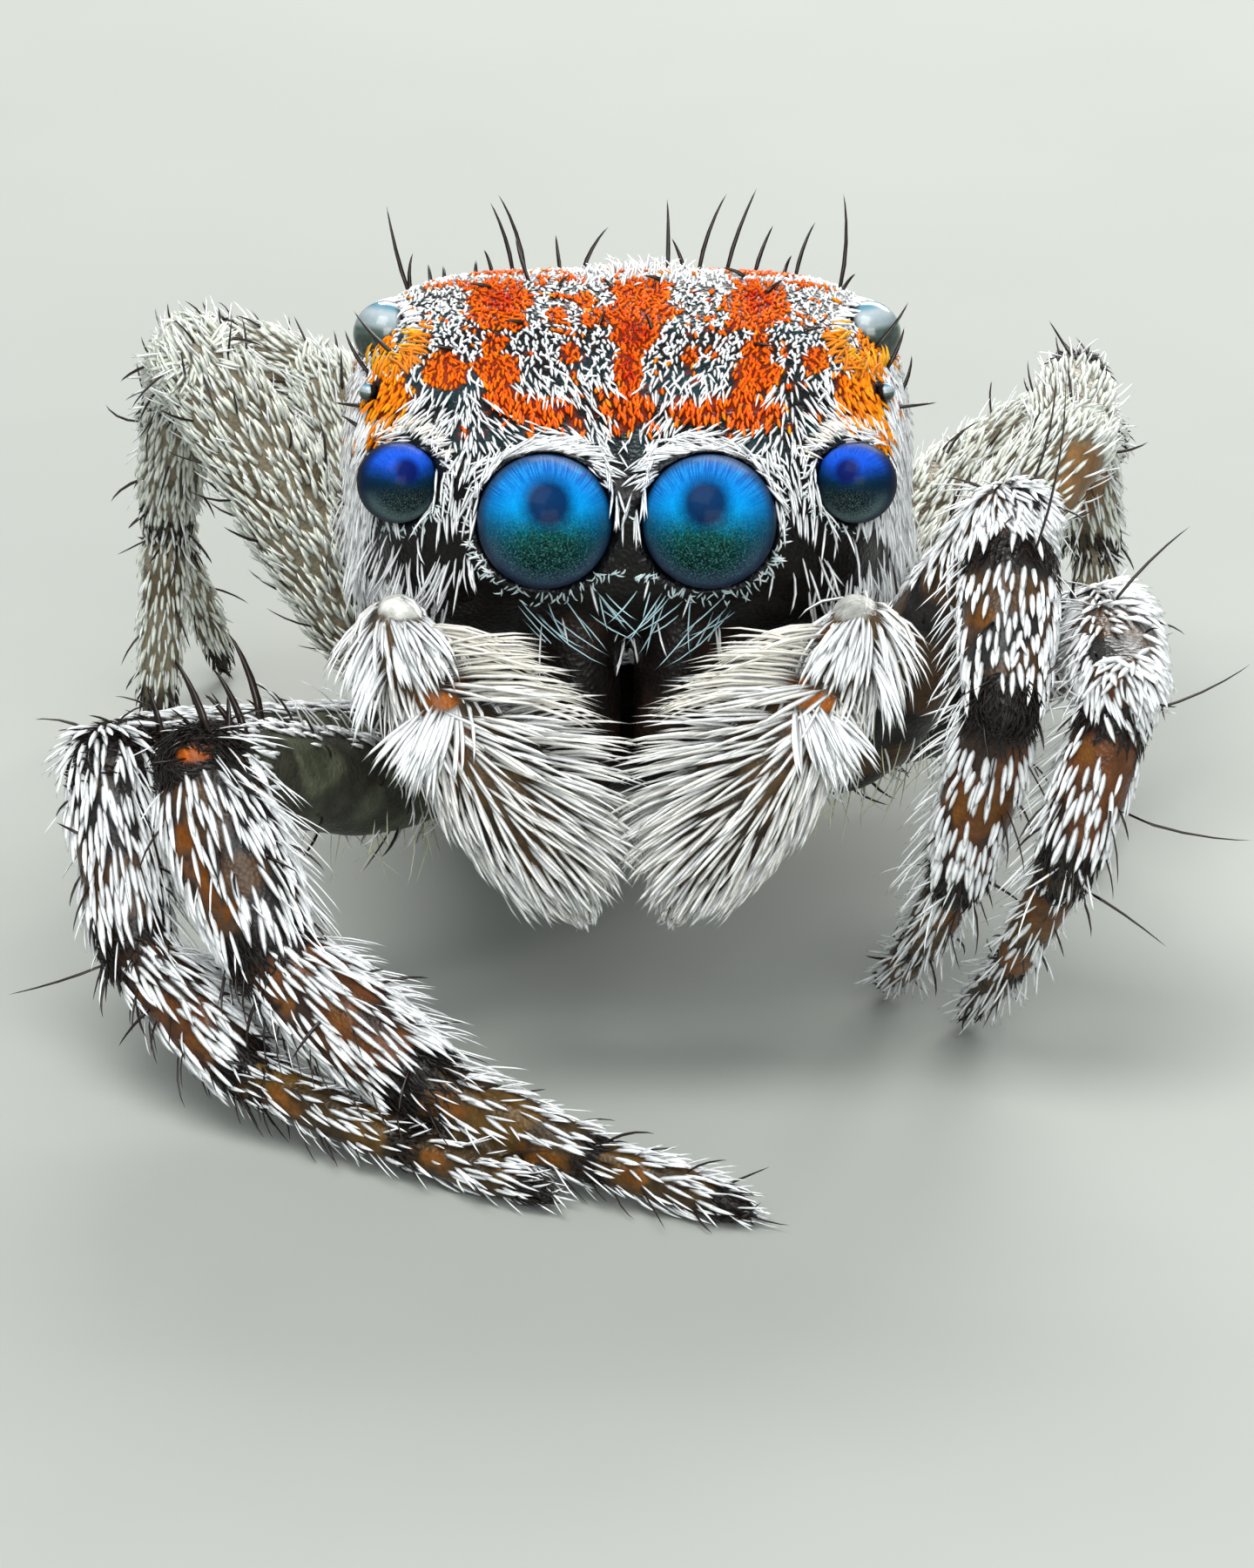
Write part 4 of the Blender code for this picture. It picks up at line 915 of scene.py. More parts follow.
# Places along a hair and its width there as a share of the full width, by the count of rings.
PROFILES = {
    2: ((0.30, 0.70), (1.0, 0.85)),
    3: ((0.22, 0.52, 0.80), (0.90, 1.0, 0.66)),
    4: ((0.12, 0.36, 0.62, 0.85), (0.85, 1.0, 0.80, 0.48)),
    5: ((0.08, 0.28, 0.50, 0.72, 0.88), (0.9, 1.0, 0.86, 0.62, 0.38)),
}
SPINDLE = ((0.34, 0.70), (1.0, 0.72))
EYE_BALLS = [(eye_middle(kind, side), EYES[kind][3] + EYE_CLEAR) for kind in EYES for side in SIDES.values()]
# Triangles of each piece.
counts = {}


class Surface:
    """The finished skin, for setting roots on it."""

    def __init__(self, mesh):
        corners = [tuple(p) for p in mesh_points(mesh)]
        self.tree = BVHTree.FromPolygons(corners, [tuple(p.vertices) for p in mesh.polygons])

    def snap(self, places, outward, reach):
        """Nearest points and normals on the skin, and which places lie close to it and face the same way."""
        found, normals = np.zeros(places.shape), np.zeros(places.shape)
        good = np.zeros(len(places), bool)
        for i, start in enumerate(places.tolist()):
            place, normal, _, distance = self.tree.find_nearest(start)
            if distance < reach:
                found[i], normals[i], good[i] = place, normal, True
        good &= (normals * outward).sum(1) > 0.35
        return found, normals, good


def spread(count, seed):
    """Evenly spread pairs of shares with a little jitter."""
    random = np.random.default_rng(seed)
    jitter = JITTER / math.sqrt(count)
    first, second = (
        (0.5 + np.arange(count) * step + random.normal(0, jitter, count)) % 1 for step in EVEN_STEPS
    )
    return first, second, random


class Roots:
    """Places of hairs, so many for each square millimetre of a shape, between two shares of its length."""

    def __init__(self, surface, shape, density, seed, reach=0.03, shares=(0.0, 1.0)):
        low, high = shares
        shell = isinstance(shape, Shell)
        if shell:
            widest = shape.widest_stretch()
            count = int(density * widest * (high - low))
        else:
            low -= shape.dome(0) if low == 0 else 0
            high += shape.dome(-1) if high == 1 else 0
            count = max(4, int(shape.area() * density * (high - low)))
        first, second, random = spread(count, seed)
        share = low + (high - low) * first
        self.place(shape, share, shape.turn_at(second), random)
        if shell:
            self.keep(random.uniform(0, 1, count) * widest < shape.stretch(share, second))
        self.settle(surface, reach)

    def place(self, shape, share, turn, random):
        self.share, self.turn, self.random = share, turn, random
        self.places, self.normals, self.along = shape.at(share, turn)

    def settle(self, surface, reach):
        """Move the roots to the skin. Those out of reach are dropped, and good says which are kept."""
        self.places, self.normals, self.good = surface.snap(self.places, self.normals, reach)
        self.keep(self.good)

    def keep(self, good):
        for name in ("share", "turn", "places", "normals", "along"):
            setattr(self, name, getattr(self, name)[good])

    def count(self):
        return len(self.places)

    def vary(self, low, high):
        return self.random.uniform(low, high, self.count())

    def strewn(self, ways, scatter):
        """Directions of length 1, turned at random."""
        return unit(ways + scatter * self.random.normal(size=self.places.shape))

    def drawn(self, value):
        """A value for each hair: as given, or between the last two of a tuple, times a first of three."""
        if not isinstance(value, tuple):
            return value * np.ones(self.count())
        *usual, low, high = value
        return self.vary(low, high) * usual[0] if usual else self.vary(low, high)

    def seen(self):
        """How far each root faces the camera, from -1 to 1."""
        return -(self.normals @ AHEAD)


class Spots(Roots):
    """Roots at chosen shares and turns of a shape."""

    def __init__(self, surface, shape, shares, turns, seed, reach=0.04):
        self.place(shape, np.array(shares, float), np.array(turns, float), np.random.default_rng(seed))
        self.settle(surface, reach)


def hair_lines(roots, lie, length, lift, settle, curl, marks):
    """Middle lines of hairs, and the directions of the stretches between their marks."""
    normal = roots.normals
    lie = unit(lie - normal * (normal * lie).sum(1, keepdims=True))
    aside = np.cross(normal, lie)
    centre = roots.places - (normal * np.sin(lift)[:, None] + lie * np.cos(lift)[:, None]) * ROOT_DEPTH
    line, ways = [centre], []
    for start, end in zip(marks, marks[1:]):
        middle = (start + end) / 2
        angle = (lift + (settle - lift) * middle)[:, None]
        swing = (curl * middle)[:, None]
        along = lie * np.cos(swing) + aside * np.sin(swing)
        ways.append(normal * np.sin(angle) + along * np.cos(angle))
        centre = centre + ways[-1] * (length * (end - start))[:, None]
        line.append(centre)
    return line, ways


def hair_faces(rings):
    """Triangles at the two ends of a hair, and squares between its rings of three points."""
    last = 3 * rings + 1
    triangles = [(0, 2, 1), (0, 3, 2), (0, 1, 3)]
    triangles += [(last, last - 3, last - 2), (last, last - 2, last - 1), (last, last - 1, last - 3)]
    squares = []
    for low in range(1, last - 3, 3):
        for i, j in ((0, 1), (1, 2), (2, 0)):
            squares.append((low + i, low + j, low + 3 + j, low + 3 + i))
    return np.array(triangles), np.array(squares)


def outside_eyes(points):
    good = np.ones(len(points), bool)
    for middle, radius in EYE_BALLS:
        good &= np.linalg.norm(points - middle, axis=1) > radius
    return good


class CoatPiece:
    """Collects hairs and makes them one mesh, each with its own patch of the bake map."""

    def __init__(self, name, boxes=1):
        self.name, self.boxes, self.base = name, boxes, 0
        self.points, self.colours = [], []
        self.faces, self.uv = ([], []), ([], [])

    def grow(self, roots, lie, length, width, lift, settle, colour, box=0, flat=0.5, curl=0.0, rings=2,
             profile=None, where=True, clear_of_eyes=True):
        """Hairs that leave the skin at one angle to it and settle to another, with pointed ends.

        Length, width, the two angles in degrees and the curl in radians are numbers, arrays or tuples for
        Roots.drawn. A colour may have the limits of its tone behind it.
        """
        if roots.count() == 0:
            return
        length, width, lift, settle = (roots.drawn(value) for value in (length, width, lift, settle))
        if isinstance(colour, tuple):
            colour = colour[0] * roots.vary(*colour[1:])[:, None]
        marks, fatness = profile or PROFILES[rings]
        marks = np.concatenate(([0.0], marks, [1.0]))
        line, ways = hair_lines(
            roots, lie, length, np.radians(lift), np.radians(settle), roots.drawn(curl), marks
        )
        good = np.ones(roots.count(), bool) & where
        for place in line[1:]:
            good &= place[:, 2] > GROUND
            if clear_of_eyes:
                good &= outside_eyes(place)
        points = [line[0]]
        for centre, before, after, fat in zip(line[1:], ways, ways[1:], fatness):
            way = unit(before + after)
            side = unit(np.cross(way, roots.normals))
            half = (width * fat / 2)[:, None]
            raised = np.cross(side, way) * half * 2 * flat
            points += [centre - side * half, centre + side * half, centre + raised]
        points = np.stack([*points, line[-1]], 1)[good]
        colour = np.broadcast_to(colour, (roots.count(), 3))[good]
        self.add(points, colour, marks, self.home(roots, box)[good])

    def add(self, points, colour, marks, home):
        """Keep hairs: the points of each, its colour, its marks and its place on the bake map."""
        rings = len(marks) - 2
        along = np.concatenate(([0.0], np.repeat(marks[1:-1], 3), [1.0]))
        across = np.concatenate(([0.5], np.tile((0.0, 1.0, 0.5), rings), [0.5]))
        # Each hair is painted darker towards its root: painted shade of the coat over its own base.
        shade = np.clip(0.55 + 0.75 * along, 0, 1)[None, :, None]
        self.points.append(points.reshape(-1, 3))
        self.colours.append((colour[:, None] * shade).reshape(-1, 3))
        patch = np.stack([across, along], 1) * PATCH_SIDE - PATCH_SIDE / 2
        starts = (self.base + len(along) * np.arange(len(points)))[:, None, None]
        self.base += len(along) * len(points)
        for faces, kept, uv in zip(hair_faces(rings), self.faces, self.uv):
            kept.append((starts + faces).reshape(-1, faces.shape[1]))
            uv.append((home[:, None, None] + patch[faces]).reshape(-1, 2))

    def home(self, roots, box):
        """Place of each root on the bake map: its shape's own box, by the turn across and the share up."""
        count = math.ceil(math.sqrt(self.boxes))
        inner = 1 / count - 2 * BOX_GAP
        u = box % count / count + BOX_GAP + inner * (roots.turn / (2 * math.pi) % 1)
        v = box // count / count + BOX_GAP + inner * np.clip(roots.share, 0, 1)
        return np.stack([u, v], 1)

    def build(self, coat, slot):
        """Make the mesh that carries all the hairs grown so far, triangles before squares."""
        faces = [np.concatenate(kept) for kept in self.faces]
        loops = np.concatenate([kept.ravel() for kept in faces])
        sizes = np.concatenate([np.full(len(kept), kept.shape[1]) for kept in faces])
        points = to_frame(np.concatenate(self.points))
        mesh = bpy.data.meshes.new(self.name)
        mesh.vertices.add(len(points))
        mesh.vertices.foreach_set("co", points.astype(np.float32).ravel())
        mesh.loops.add(len(loops))
        mesh.loops.foreach_set("vertex_index", loops.astype(np.int32))
        mesh.polygons.add(len(sizes))
        mesh.polygons.foreach_set("loop_start", (np.cumsum(sizes) - sizes).astype(np.int32))
        mesh.polygons.foreach_set("use_smooth", np.ones(len(sizes), bool))
        mesh.update(calc_edges=True)
        uv = np.concatenate([rows for kept in self.uv for rows in kept])
        mesh.uv_layers.new(name="OFBake").data.foreach_set("uv", uv.astype(np.float32).ravel())
        put_colours(mesh, np.concatenate(self.colours))
        mesh.materials.append(coat)
        made = placed(self.name, mesh)
        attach(made, "root")
        counts[self.name] = len(loops) - 2 * len(sizes)


# Materials.


class Shader:
    """A new material, with short ways to make the nodes of its colours."""

    def __init__(self, name):
        self.material = bpy.data.materials.new(name)
        self.material.use_nodes = True
        self.tree = self.material.node_tree

    def fill(self, made, inputs):
        """Link nodes to the inputs of a node, or give them values. A colour's fourth value is 1."""
        for key, value in inputs.items():
            socket = made.inputs[key]
            if isinstance(value, bpy.types.NodeSocket):
                self.tree.links.new(value, socket)
            elif isinstance(value, (int, float)):
                socket.default_value = value
            else:
                socket.default_value = (*value, 1.0)[:len(socket.default_value)]

    def node(self, kind, inputs, output=0, **settings):
        """Add a node, and give one of its outputs."""
        made = self.tree.nodes.new("ShaderNode" + kind)
        for name, value in settings.items():
            setattr(made, name, value)
        self.fill(made, inputs)
        return made.outputs[output]

    def maths(self, operation, *values):
        return self.node("Math", dict(enumerate(values)), operation=operation)

    def times(self, first, second):
        return self.maths("MULTIPLY", first, second)

    def scaled(self, vector, scale):
        return self.node("VectorMath", {0: vector, "Scale": scale}, operation="SCALE")

    def place(self, unit_length):
        """Coordinates of the object in units of a length."""
        return self.scaled(self.node("TexCoord", {}, "Object"), 1 / unit_length)

    def stored_hue(self, tone):
        """The colours of the points, times a tone."""
        return self.scaled(self.node("Attribute", {}, "Color", attribute_name="hue"), tone)

    def noise(self, place, scale, detail=3.0, rough=0.55):
        inputs = {"Vector": place, "Scale": scale, "Detail": detail, "Roughness": rough}
        return self.node("TexNoise", inputs, "Fac")

    def cells(self, place, scale):
        return self.node("TexVoronoi", {"Vector": place, "Scale": scale}, "Distance")

    def ranged(self, value, low, high, new_low=0.0, new_high=1.0):
        limits = {"From Min": low, "From Max": high, "To Min": new_low, "To Max": new_high}
        return self.node("MapRange", {"Value": value, **limits})

    def mixed(self, share, first, second, blend="MIX"):
        return self.node("Mix", {0: share, 6: first, 7: second}, 2, data_type="RGBA", blend_type=blend)

    def ramp(self, value, stops, mode="EASE"):
        made = self.tree.nodes.new("ShaderNodeValToRGB")
        made.color_ramp.interpolation = mode
        elements = made.color_ramp.elements
        elements.remove(elements[-1])
        elements[0].position = stops[0][0]
        elements[0].color = (*stops[0][1], 1)
        for position, colour in stops[1:]:
            elements.new(position).color = (*colour, 1)
        self.fill(made, {0: value})
        return made.outputs[0]

    def bump(self, height, strength, distance):
        """Normals for a height, with the distance in millimetres."""
        return self.node("Bump", {"Height": height, "Strength": strength, "Distance": distance * MM})

    def finished(self, colour, rough, gloss, **more):
        """The material, with its colour, roughness and reflection. Other inputs are given by name."""
        inputs = {"Base Color": colour, "Roughness": rough, "Specular IOR Level": gloss}
        inputs.update({name.replace("_", " ").title(): value for name, value in more.items()})
        self.fill(self.tree.nodes["Principled BSDF"], inputs)
        return self.material


def coat_material(name, rough, sheen, gloss):
    """Hair coloured tuft by tuft, with painted shade towards the roots, and finer tone along each one."""
    shader = Shader(name)
    place = shader.place(MM)
    colour = shader.stored_hue(shader.ranged(shader.noise(place, 60.0), 0.25, 0.75, 0.86, 1.1))
    worn = shader.ranged(shader.noise(place, 30.0), 0.3, 0.7, rough - 0.08, rough + 0.1)
    return shader.finished(colour, worn, gloss, sheen_weight=sheen, sheen_roughness=0.4)


def skin_material():
    """Bare skin with a fine net of raised cells, glossy as horn."""
    shader = Shader("spider_skin")
    place = shader.place(MM)
    colour = shader.stored_hue(shader.ranged(shader.noise(place, 22.0, 5.0), 0.3, 0.7, 0.65, 1.3))
    worn = shader.ranged(shader.noise(place, 14.0), 0.3, 0.7, 0.26, 0.46)
    height = shader.maths("ADD", shader.cells(place, 75.0), shader.noise(place, 28.0))
    raised = shader.bump(height, 0.7, 0.004)
    return shader.finished(colour, worn, 0.22, coat_weight=0.07, coat_roughness=0.2, normal=raised)


def bristle_material():
    shader = Shader("black_bristle")
    shade = shader.noise(shader.place(MM), 40.0)
    colour = shader.mixed(shade, hue(14, 10, 8), hue(44, 30, 20))
    return shader.finished(colour, shader.ranged(shade, 0.3, 0.7, 0.28, 0.42), 0.5)


def eye_axes(shader, radius):
    """Direction from the eye's middle in its own axes, and its three parts."""
    place = shader.place(radius * MM)
    return place, shader.node("SeparateXYZ", {0: place}, slice(3))


def blue_eye_material(name, radius, look):
    """A clear dome: bright above, partly a painted sky reflection; dark green and granular below; the dark
    disc behind it.
    """
    shader = Shader(name)
    maths, times, ranged, mixed = shader.maths, shader.times, shader.ranged, shader.mixed
    place, (x, y, z) = eye_axes(shader, radius)
    grain = maths("SUBTRACT", shader.noise(place, 9.0, 5.0, 0.75), 0.5)
    fine = shader.noise(place, 34.0, 3.0, 0.7)
    fleck = maths("SUBTRACT", fine, 0.5)
    flat = shader.node("CombineXYZ", {0: x, 2: z})
    out = shader.node("VectorMath", {0: flat}, "Value", operation="LENGTH")
    around = shader.node("CombineXYZ", {0: times(maths("ARCTAN2", x, z), 40.0), 1: times(out, 3.0)})
    glinting_rays = {"Vector": around, "Scale": 1.0, "Detail": 3.0}
    glinting_rays = shader.node("TexNoise", glinting_rays, "Fac", noise_dimensions="2D")

    ragged = maths("MULTIPLY_ADD", grain, 0.42, z)
    ragged = maths("MULTIPLY_ADD", fleck, 0.20, ragged)
    ragged = maths("MULTIPLY_ADD", times(x, x), look["smile"], ragged)
    # Colours from the lowest to the highest point. The bright upper part is partly a painted reflection of
    # the sky.
    body = shader.ramp(maths("MULTIPLY_ADD", ragged, 0.5, 0.5), look["down"], "LINEAR")
    # The bright rays at the top edge are partly painted highlights.
    top = mixed(ranged(glinting_rays, 0.35, 0.65), *look["glinting_rays"])
    near_rim = times(ranged(out, 0.50, 0.95), ranged(z, -0.05, 0.50))
    body = mixed(times(near_rim, look["ray_share"]), body, top)
    granules = times(ranged(shader.cells(place, 24.0), 0.15, 0.65), ranged(z, 0.20, -0.25, 0.25, 1.0))
    body = mixed(granules, body, (0.28, 0.30, 0.34), "MULTIPLY")
    sides = times(ranged(maths("ABSOLUTE", x), 0.35, 0.85, 0.0, 0.8), ranged(z, 0.55, 0.0))
    body = mixed(sides, body, look["sides"])
    crescent = times(ranged(out, 0.68, 0.94, 0.0, 0.85), ranged(z, -0.10, -0.55))
    body = mixed(crescent, body, look["crescent"])
    specks = times(ranged(fine, 0.50, 0.68), ranged(z, *look["specks"], 0.0, 0.8))
    body = mixed(specks, body, look["speck"])
    # The dark disc is the retina behind the lens together with a painted reflection of the camera.
    across, up, pupil_and_camera_reflection = look["pupil_and_camera_reflection"]
    away = shader.node("VectorMath", {0: flat, 1: (across, 0.0, up)}, "Value", operation="DISTANCE")
    away = maths("MULTIPLY_ADD", fleck, 0.07, away)
    disc = maths("SMOOTH_MIN", ranged(away, pupil_and_camera_reflection * 1.32, pupil_and_camera_reflection * 0.66), 0.94, 0.2)
    body = mixed(disc, body, look["disc"])
    body = mixed(ranged(out, 0.88, 0.99, 0.0, 0.9), body, look["edge"])
    body = mixed(ranged(y, -0.10, 0.05), body, hue(6, 8, 10))
    raised = shader.bump(fine, 0.25, 0.002)
    return shader.finished(body, 0.5, 0.04, coat_weight=0.04, coat_roughness=0.12, normal=raised)


# Colours of the small hind eyes from the lowest to the highest point. The pale band above the middle is
# partly a painted highlight.
PEARL_AND_HIGHLIGHT = (
    (0.0, hue(14, 18, 12)), (0.30, hue(34, 44, 26)), (0.44, hue(62, 78, 66)), (0.56, hue(146, 160, 162)),
    (0.76, hue(176, 190, 194)), (0.88, hue(84, 142, 164)), (1.0, hue(40, 96, 124)),
)


def pale_eye_material(name, radius):
    """The small hind eyes: a smooth pearl dome with a black rim, its pale band partly a painted highlight."""
    shader = Shader(name)
    place, (_, y, z) = eye_axes(shader, radius)
    body = shader.ramp(shader.maths("ADD", shader.times(z, 0.5), 0.5), PEARL_AND_HIGHLIGHT)
    cloud = shader.ranged(shader.noise(place, 6.0), 0.3, 0.7, 0.0, 0.25)
    body = shader.mixed(cloud, body, hue(110, 130, 140))
    body = shader.mixed(shader.ranged(y, -0.30, -0.12), body, hue(8, 9, 12))
    return shader.finished(body, 0.22, 0.3, coat_weight=0.3, coat_roughness=0.08)


# Looks of the two kinds of large eye: from the lowest to the highest point, with the bright upper part partly
# a painted reflection of the sky, how much the edges are lifted, the rays at the top edge, partly painted
# highlights, specks below and the heights between which they set in, the dark disc (across, up and radius),
# partly a painted reflection of the camera, and the colour of the edge.
MIDDLE_LOOK = {
    "down": (
        (0.0, hue(2, 40, 42)), (0.20, hue(0, 44, 38)), (0.33, hue(0, 60, 46)), (0.43, hue(0, 84, 78)),
        (0.52, hue(0, 116, 146)), (0.61, hue(0, 142, 204)), (0.70, hue(4, 158, 238)),
        (0.80, hue(4, 140, 228)),
        (0.91, hue(8, 100, 190)), (1.0, hue(12, 62, 140)),
    ),
    "smile": 0.42,
    "glinting_rays": (hue(2, 72, 164), hue(50, 178, 244)),
    "ray_share": 0.6,
    "sides": hue(4, 62, 84),
    "crescent": hue(66, 74, 104),
    "speck": hue(84, 146, 150),
    "specks": (0.30, -0.60),
    "pupil_and_camera_reflection": (0.0, 0.31, 0.37),
    "disc": hue(0, 12, 56),
    "edge": hue(8, 34, 66),
}
SIDE_LOOK = {
    "down": (
        (0.0, hue(30, 60, 62)), (0.16, hue(12, 40, 42)), (0.36, hue(4, 32, 34)), (0.50, hue(4, 42, 66)),
        (0.60, hue(8, 58, 138)), (0.74, hue(20, 82, 208)), (0.87, hue(26, 88, 214)), (1.0, hue(16, 54, 138)),
    ),
    "smile": -0.30,
    "glinting_rays": (hue(8, 48, 150), hue(46, 110, 232)),
    "ray_share": 0.5,
    "sides": hue(8, 34, 52),
    "crescent": hue(84, 106, 106),
    "speck": hue(140, 160, 160),
    "specks": (0.0, -0.9),
    "pupil_and_camera_reflection": (0.0, 0.32, 0.30),
    "disc": hue(6, 16, 76),
    "edge": hue(8, 24, 52),
}


# Pieces.

EYE_SEGMENTS = {"front_middle": 96, "front_side": 72, "rear": 56, "small": 24}


def eye_material(kind, radius):
    if kind == "front_middle":
        return blue_eye_material("large_eye", radius, MIDDLE_LOOK)
    if kind == "front_side":
        return blue_eye_material("side_eye", radius, SIDE_LOOK)
    return pale_eye_material("pearl_eye_" + kind, radius)


def eyes():
    for kind, (_, _, _, radius, _) in EYES.items():
        coat = eye_material(kind, radius)
        turns = EYE_SEGMENTS[kind]
        for word, side in SIDES.items():
            bpy.ops.mesh.primitive_uv_sphere_add(segments=turns, ring_count=turns // 2, radius=radius * MM)
            ball = bpy.context.object
            ball.name = "dome_" + kind + "_" + word
            ball.data.name = ball.name
            ball.data.transform(Matrix.Rotation(math.pi / 2, 4, "X"))
            ball.data.polygons.foreach_set("use_smooth", [True] * len(ball.data.polygons))
            ball.rotation_mode = "QUATERNION"
            ball.rotation_quaternion = Vector(FRONT).rotation_difference(Vector(eye_look(kind, side)))
            ball.location = to_frame(eye_middle(kind, side))
            ball.data.materials.append(coat)
            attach(ball, "root")
            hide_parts("eye_%s_%s" % (kind, word))


def label_skin(points, shapes):
    """The nearest shape to each point of the skin, and the share and turn there."""
    labels, places = [], []
    for index, shape in enumerate(shapes):
        along, across = shape.net
        share, part = grid(np.linspace(0, 1, along), np.arange(across) / across)
        turn = shape.turn_at(part)
        places.append(shape.at(share, turn)[0])
        labels.append(np.stack([np.full(len(share), index), share, turn]))
    places = np.concatenate(places)
    tree = KDTree(len(places))
    for i, place in enumerate(places):
        tree.insert(place, i)
    tree.balance()
    return np.concatenate(labels, 1)[:, [tree.find(p)[1] for p in points]]


def make_skin(shapes, shells):
    mesh = remeshed(*raw_skin(shapes, shells))
    points = hollow_sockets(mesh_points(mesh))
    points[:, 2] = np.maximum(points[:, 2], SKIN_FLOOR)
    mesh.vertices.foreach_set("co", points.ravel())
    mesh.update()
    surface = Surface(mesh)
    index, share, turn = label_skin(points, shapes)
    colours = np.zeros((len(points), 3))
    for i, shape in enumerate(shapes):
        mine = index == i
        if mine.any():
            colours[mine] = skin_colour(shape.name, points[mine], share[mine], turn[mine])
    # Darken the skin next to each eye: its dark rim and painted shade in the socket.
    gap = np.min([np.linalg.norm(points - middle, axis=1) - radius for middle, radius in EYE_BALLS], 0)
    colours = blend_hues(SOCKET_SKIN_AND_SHADE * np.ones((len(points), 3)), colours, smooth(*SOCKET_EDGE, gap))
    put_colours(mesh, np.clip(colours, 0, 1))
    mesh.vertices.foreach_set("co", to_frame(points).ravel())
    mesh.polygons.foreach_set("use_smooth", np.ones(len(mesh.polygons), bool))
    mesh.update()
    mesh.materials.clear()
    mesh.materials.append(skin_material())
    made = placed("skin", mesh)
    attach(made, "root")
    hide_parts(*[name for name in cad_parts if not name.startswith("eye_")])
    counts["skin"] = 2 * len(mesh.polygons)
    return surface


# Hairs for each square millimetre of the coats that have one kind of hair.
DENSITIES = {
    "face": 4700, "carapace": 1700, "cheek": 1500, "nape": 1000, "dark ring": 1700, "hip": 130,
    "thigh": 90, "fan": 1700, "abdomen": 420,
}

# Rows and columns of the head's hair on the map, in pairs between which a change takes place. Columns are
# counted from the midline.
# Where the hair of the brow parts above each large eye.
PARTING = (190, 392)
FAN_START = 16
FAN_BELOW = (0, 46)
FAN_RADII = (240, 150)
FAN_OUT = (25, 70)
STRAIGHT_OUT = (0, 40)
EYE_MARGIN = (40, 6)
# Where the scales of the brow grow longer, where orange ones stand in tongues, and where those hang down.
BROW_ROWS = (404, 462)
TONGUE_ROWS = (440, 476)
HANG_ROWS = (416, 446)
# The nearly bare face under the large eyes, and the gap between these.
BARE_ROWS = (590, 606)
BARE_OUT = 300
GAP_ROWS = (484, 496)
GAP_COLUMN = 717
GAP_WIDTHS = (26, 14)


def face_ways(across, down):
    """The way the face's hair lies on the map: down, parting above the large eyes and round every eye."""
    side = np.where(across > MIDLINE, 1, -1)
    out = np.abs(across - MIDLINE)
    x, y = out - PARTING[0], down - PARTING[1]
    far = np.hypot(x, y) + 1e-6
    fan = np.stack([side * x / far, y / far], 1)
    straight = np.stack([-0.15 * side * smooth(*STRAIGHT_OUT, out), np.ones(len(out))], 1)
    start = FAN_START + 0.6 * np.abs(x)
    near = smooth(*FAN_BELOW, y - start) * smooth(*FAN_RADII, far) * smooth(*FAN_OUT, out)
    ways = unit(straight + (fan - straight) * near[:, None])
    for side in SIDES.values():
        for kind in ("front_middle", "front_side", "rear"):
            away = np.stack([across, down], 1) - eye_place(kind, side)
            gap = np.linalg.norm(away, axis=1) - EYES[kind][3] / PIXEL
            away = unit(away)
            into = np.minimum((ways * away).sum(1), 0)
            ways = unit(ways - away * (into * smooth(*EYE_MARGIN, gap))[:, None])
    return ways


def eye_place(kind, side):
    """Where the middle of an eye lies in the picture."""
    return np.array([v[0] for v in picture_place(eye_middle(kind, side)[None])])


def face_flow(roots):
    """The lie of the head's hair: forward and down in front of the crest, backward behind it."""
    front = picture_way(face_ways(*face_place(roots.places)))
    behind = smooth(CREST - 0.08, CREST + 0.06, roots.places[:, 1])[:, None]
    flank = smooth(0.6, 0.15, np.abs(roots.normals[:, 2])) * smooth(1.85, 1.6, roots.places[:, 2])
    flank = flank * smooth(0.35, 0.75, np.abs(roots.normals[:, 0]))
    lie = front * (1 - behind) + roots.along * behind
    return unit(lie + flank[:, None] * vec((0, 0.1, -1.0))), flank


def coat_face(surface, shell, materials):
    """Short scales over the eye field: plump orange ones, and white ones that grow longer down the brow."""
    piece = CoatPiece("coat_face")
    roots = Roots(surface, shell, DENSITIES["face"], 11, shares=(0.0, 0.62))
    roots.keep((roots.places[:, 1] < 1.12) & (roots.normals[:, 2] > -0.2))
    across, down = face_place(roots.places)
    lie, flank = face_flow(roots)
    colour, orange = head_colour(roots.places, roots.random)
    low, tongue = smooth(*BROW_ROWS, down), smooth(*TONGUE_ROWS, down)
    hang = (0.9 * smooth(*HANG_ROWS, down) * orange)[:, None]
    lie = roots.strewn(unit(lie * (1 - hang) - hang * RISE), (0.36 - 0.24 * low)[:, None])
    length = np.where(orange, 0.033 + 0.030 * tongue, 0.031 + 0.060 * low) * roots.vary(0.75, 1.25)
    length = length + 0.05 * flank * roots.vary(0.2, 1.0)
    width = np.where(orange, 0.0142, 0.0116 - 0.0024 * low) * roots.vary(0.85, 1.2)
    dense = np.where(orange, 1.0 - 0.45 * tongue, 0.90 - 0.50 * low)
    dark = SPECK_FIELD(roots.places * 1.5) > 1.0
    dense = np.where(dark & ~orange, 0.5 * dense, dense)
    dense = dense * (1 - 0.94 * smooth(*BARE_ROWS, down) * (np.abs(across - MIDLINE) < BARE_OUT))
    in_gap = smooth(*GAP_ROWS, down) * smooth(*GAP_WIDTHS, np.abs(across - GAP_COLUMN)) * ~orange
    dense = dense * (1 - 0.9 * in_gap)
    lift = roots.vary(8, 26) - 2 * low
    chosen = roots.vary(0, 1) < dense
    for long, rings, profile in ((low > 0.4, 3, None), (low <= 0.4, 2, SPINDLE)):
        piece.grow(roots, lie, length, width, lift, 4, colour, rings=rings, profile=profile,
                   where=chosen & long)
    piece.build(materials["scale"], "face_coat")


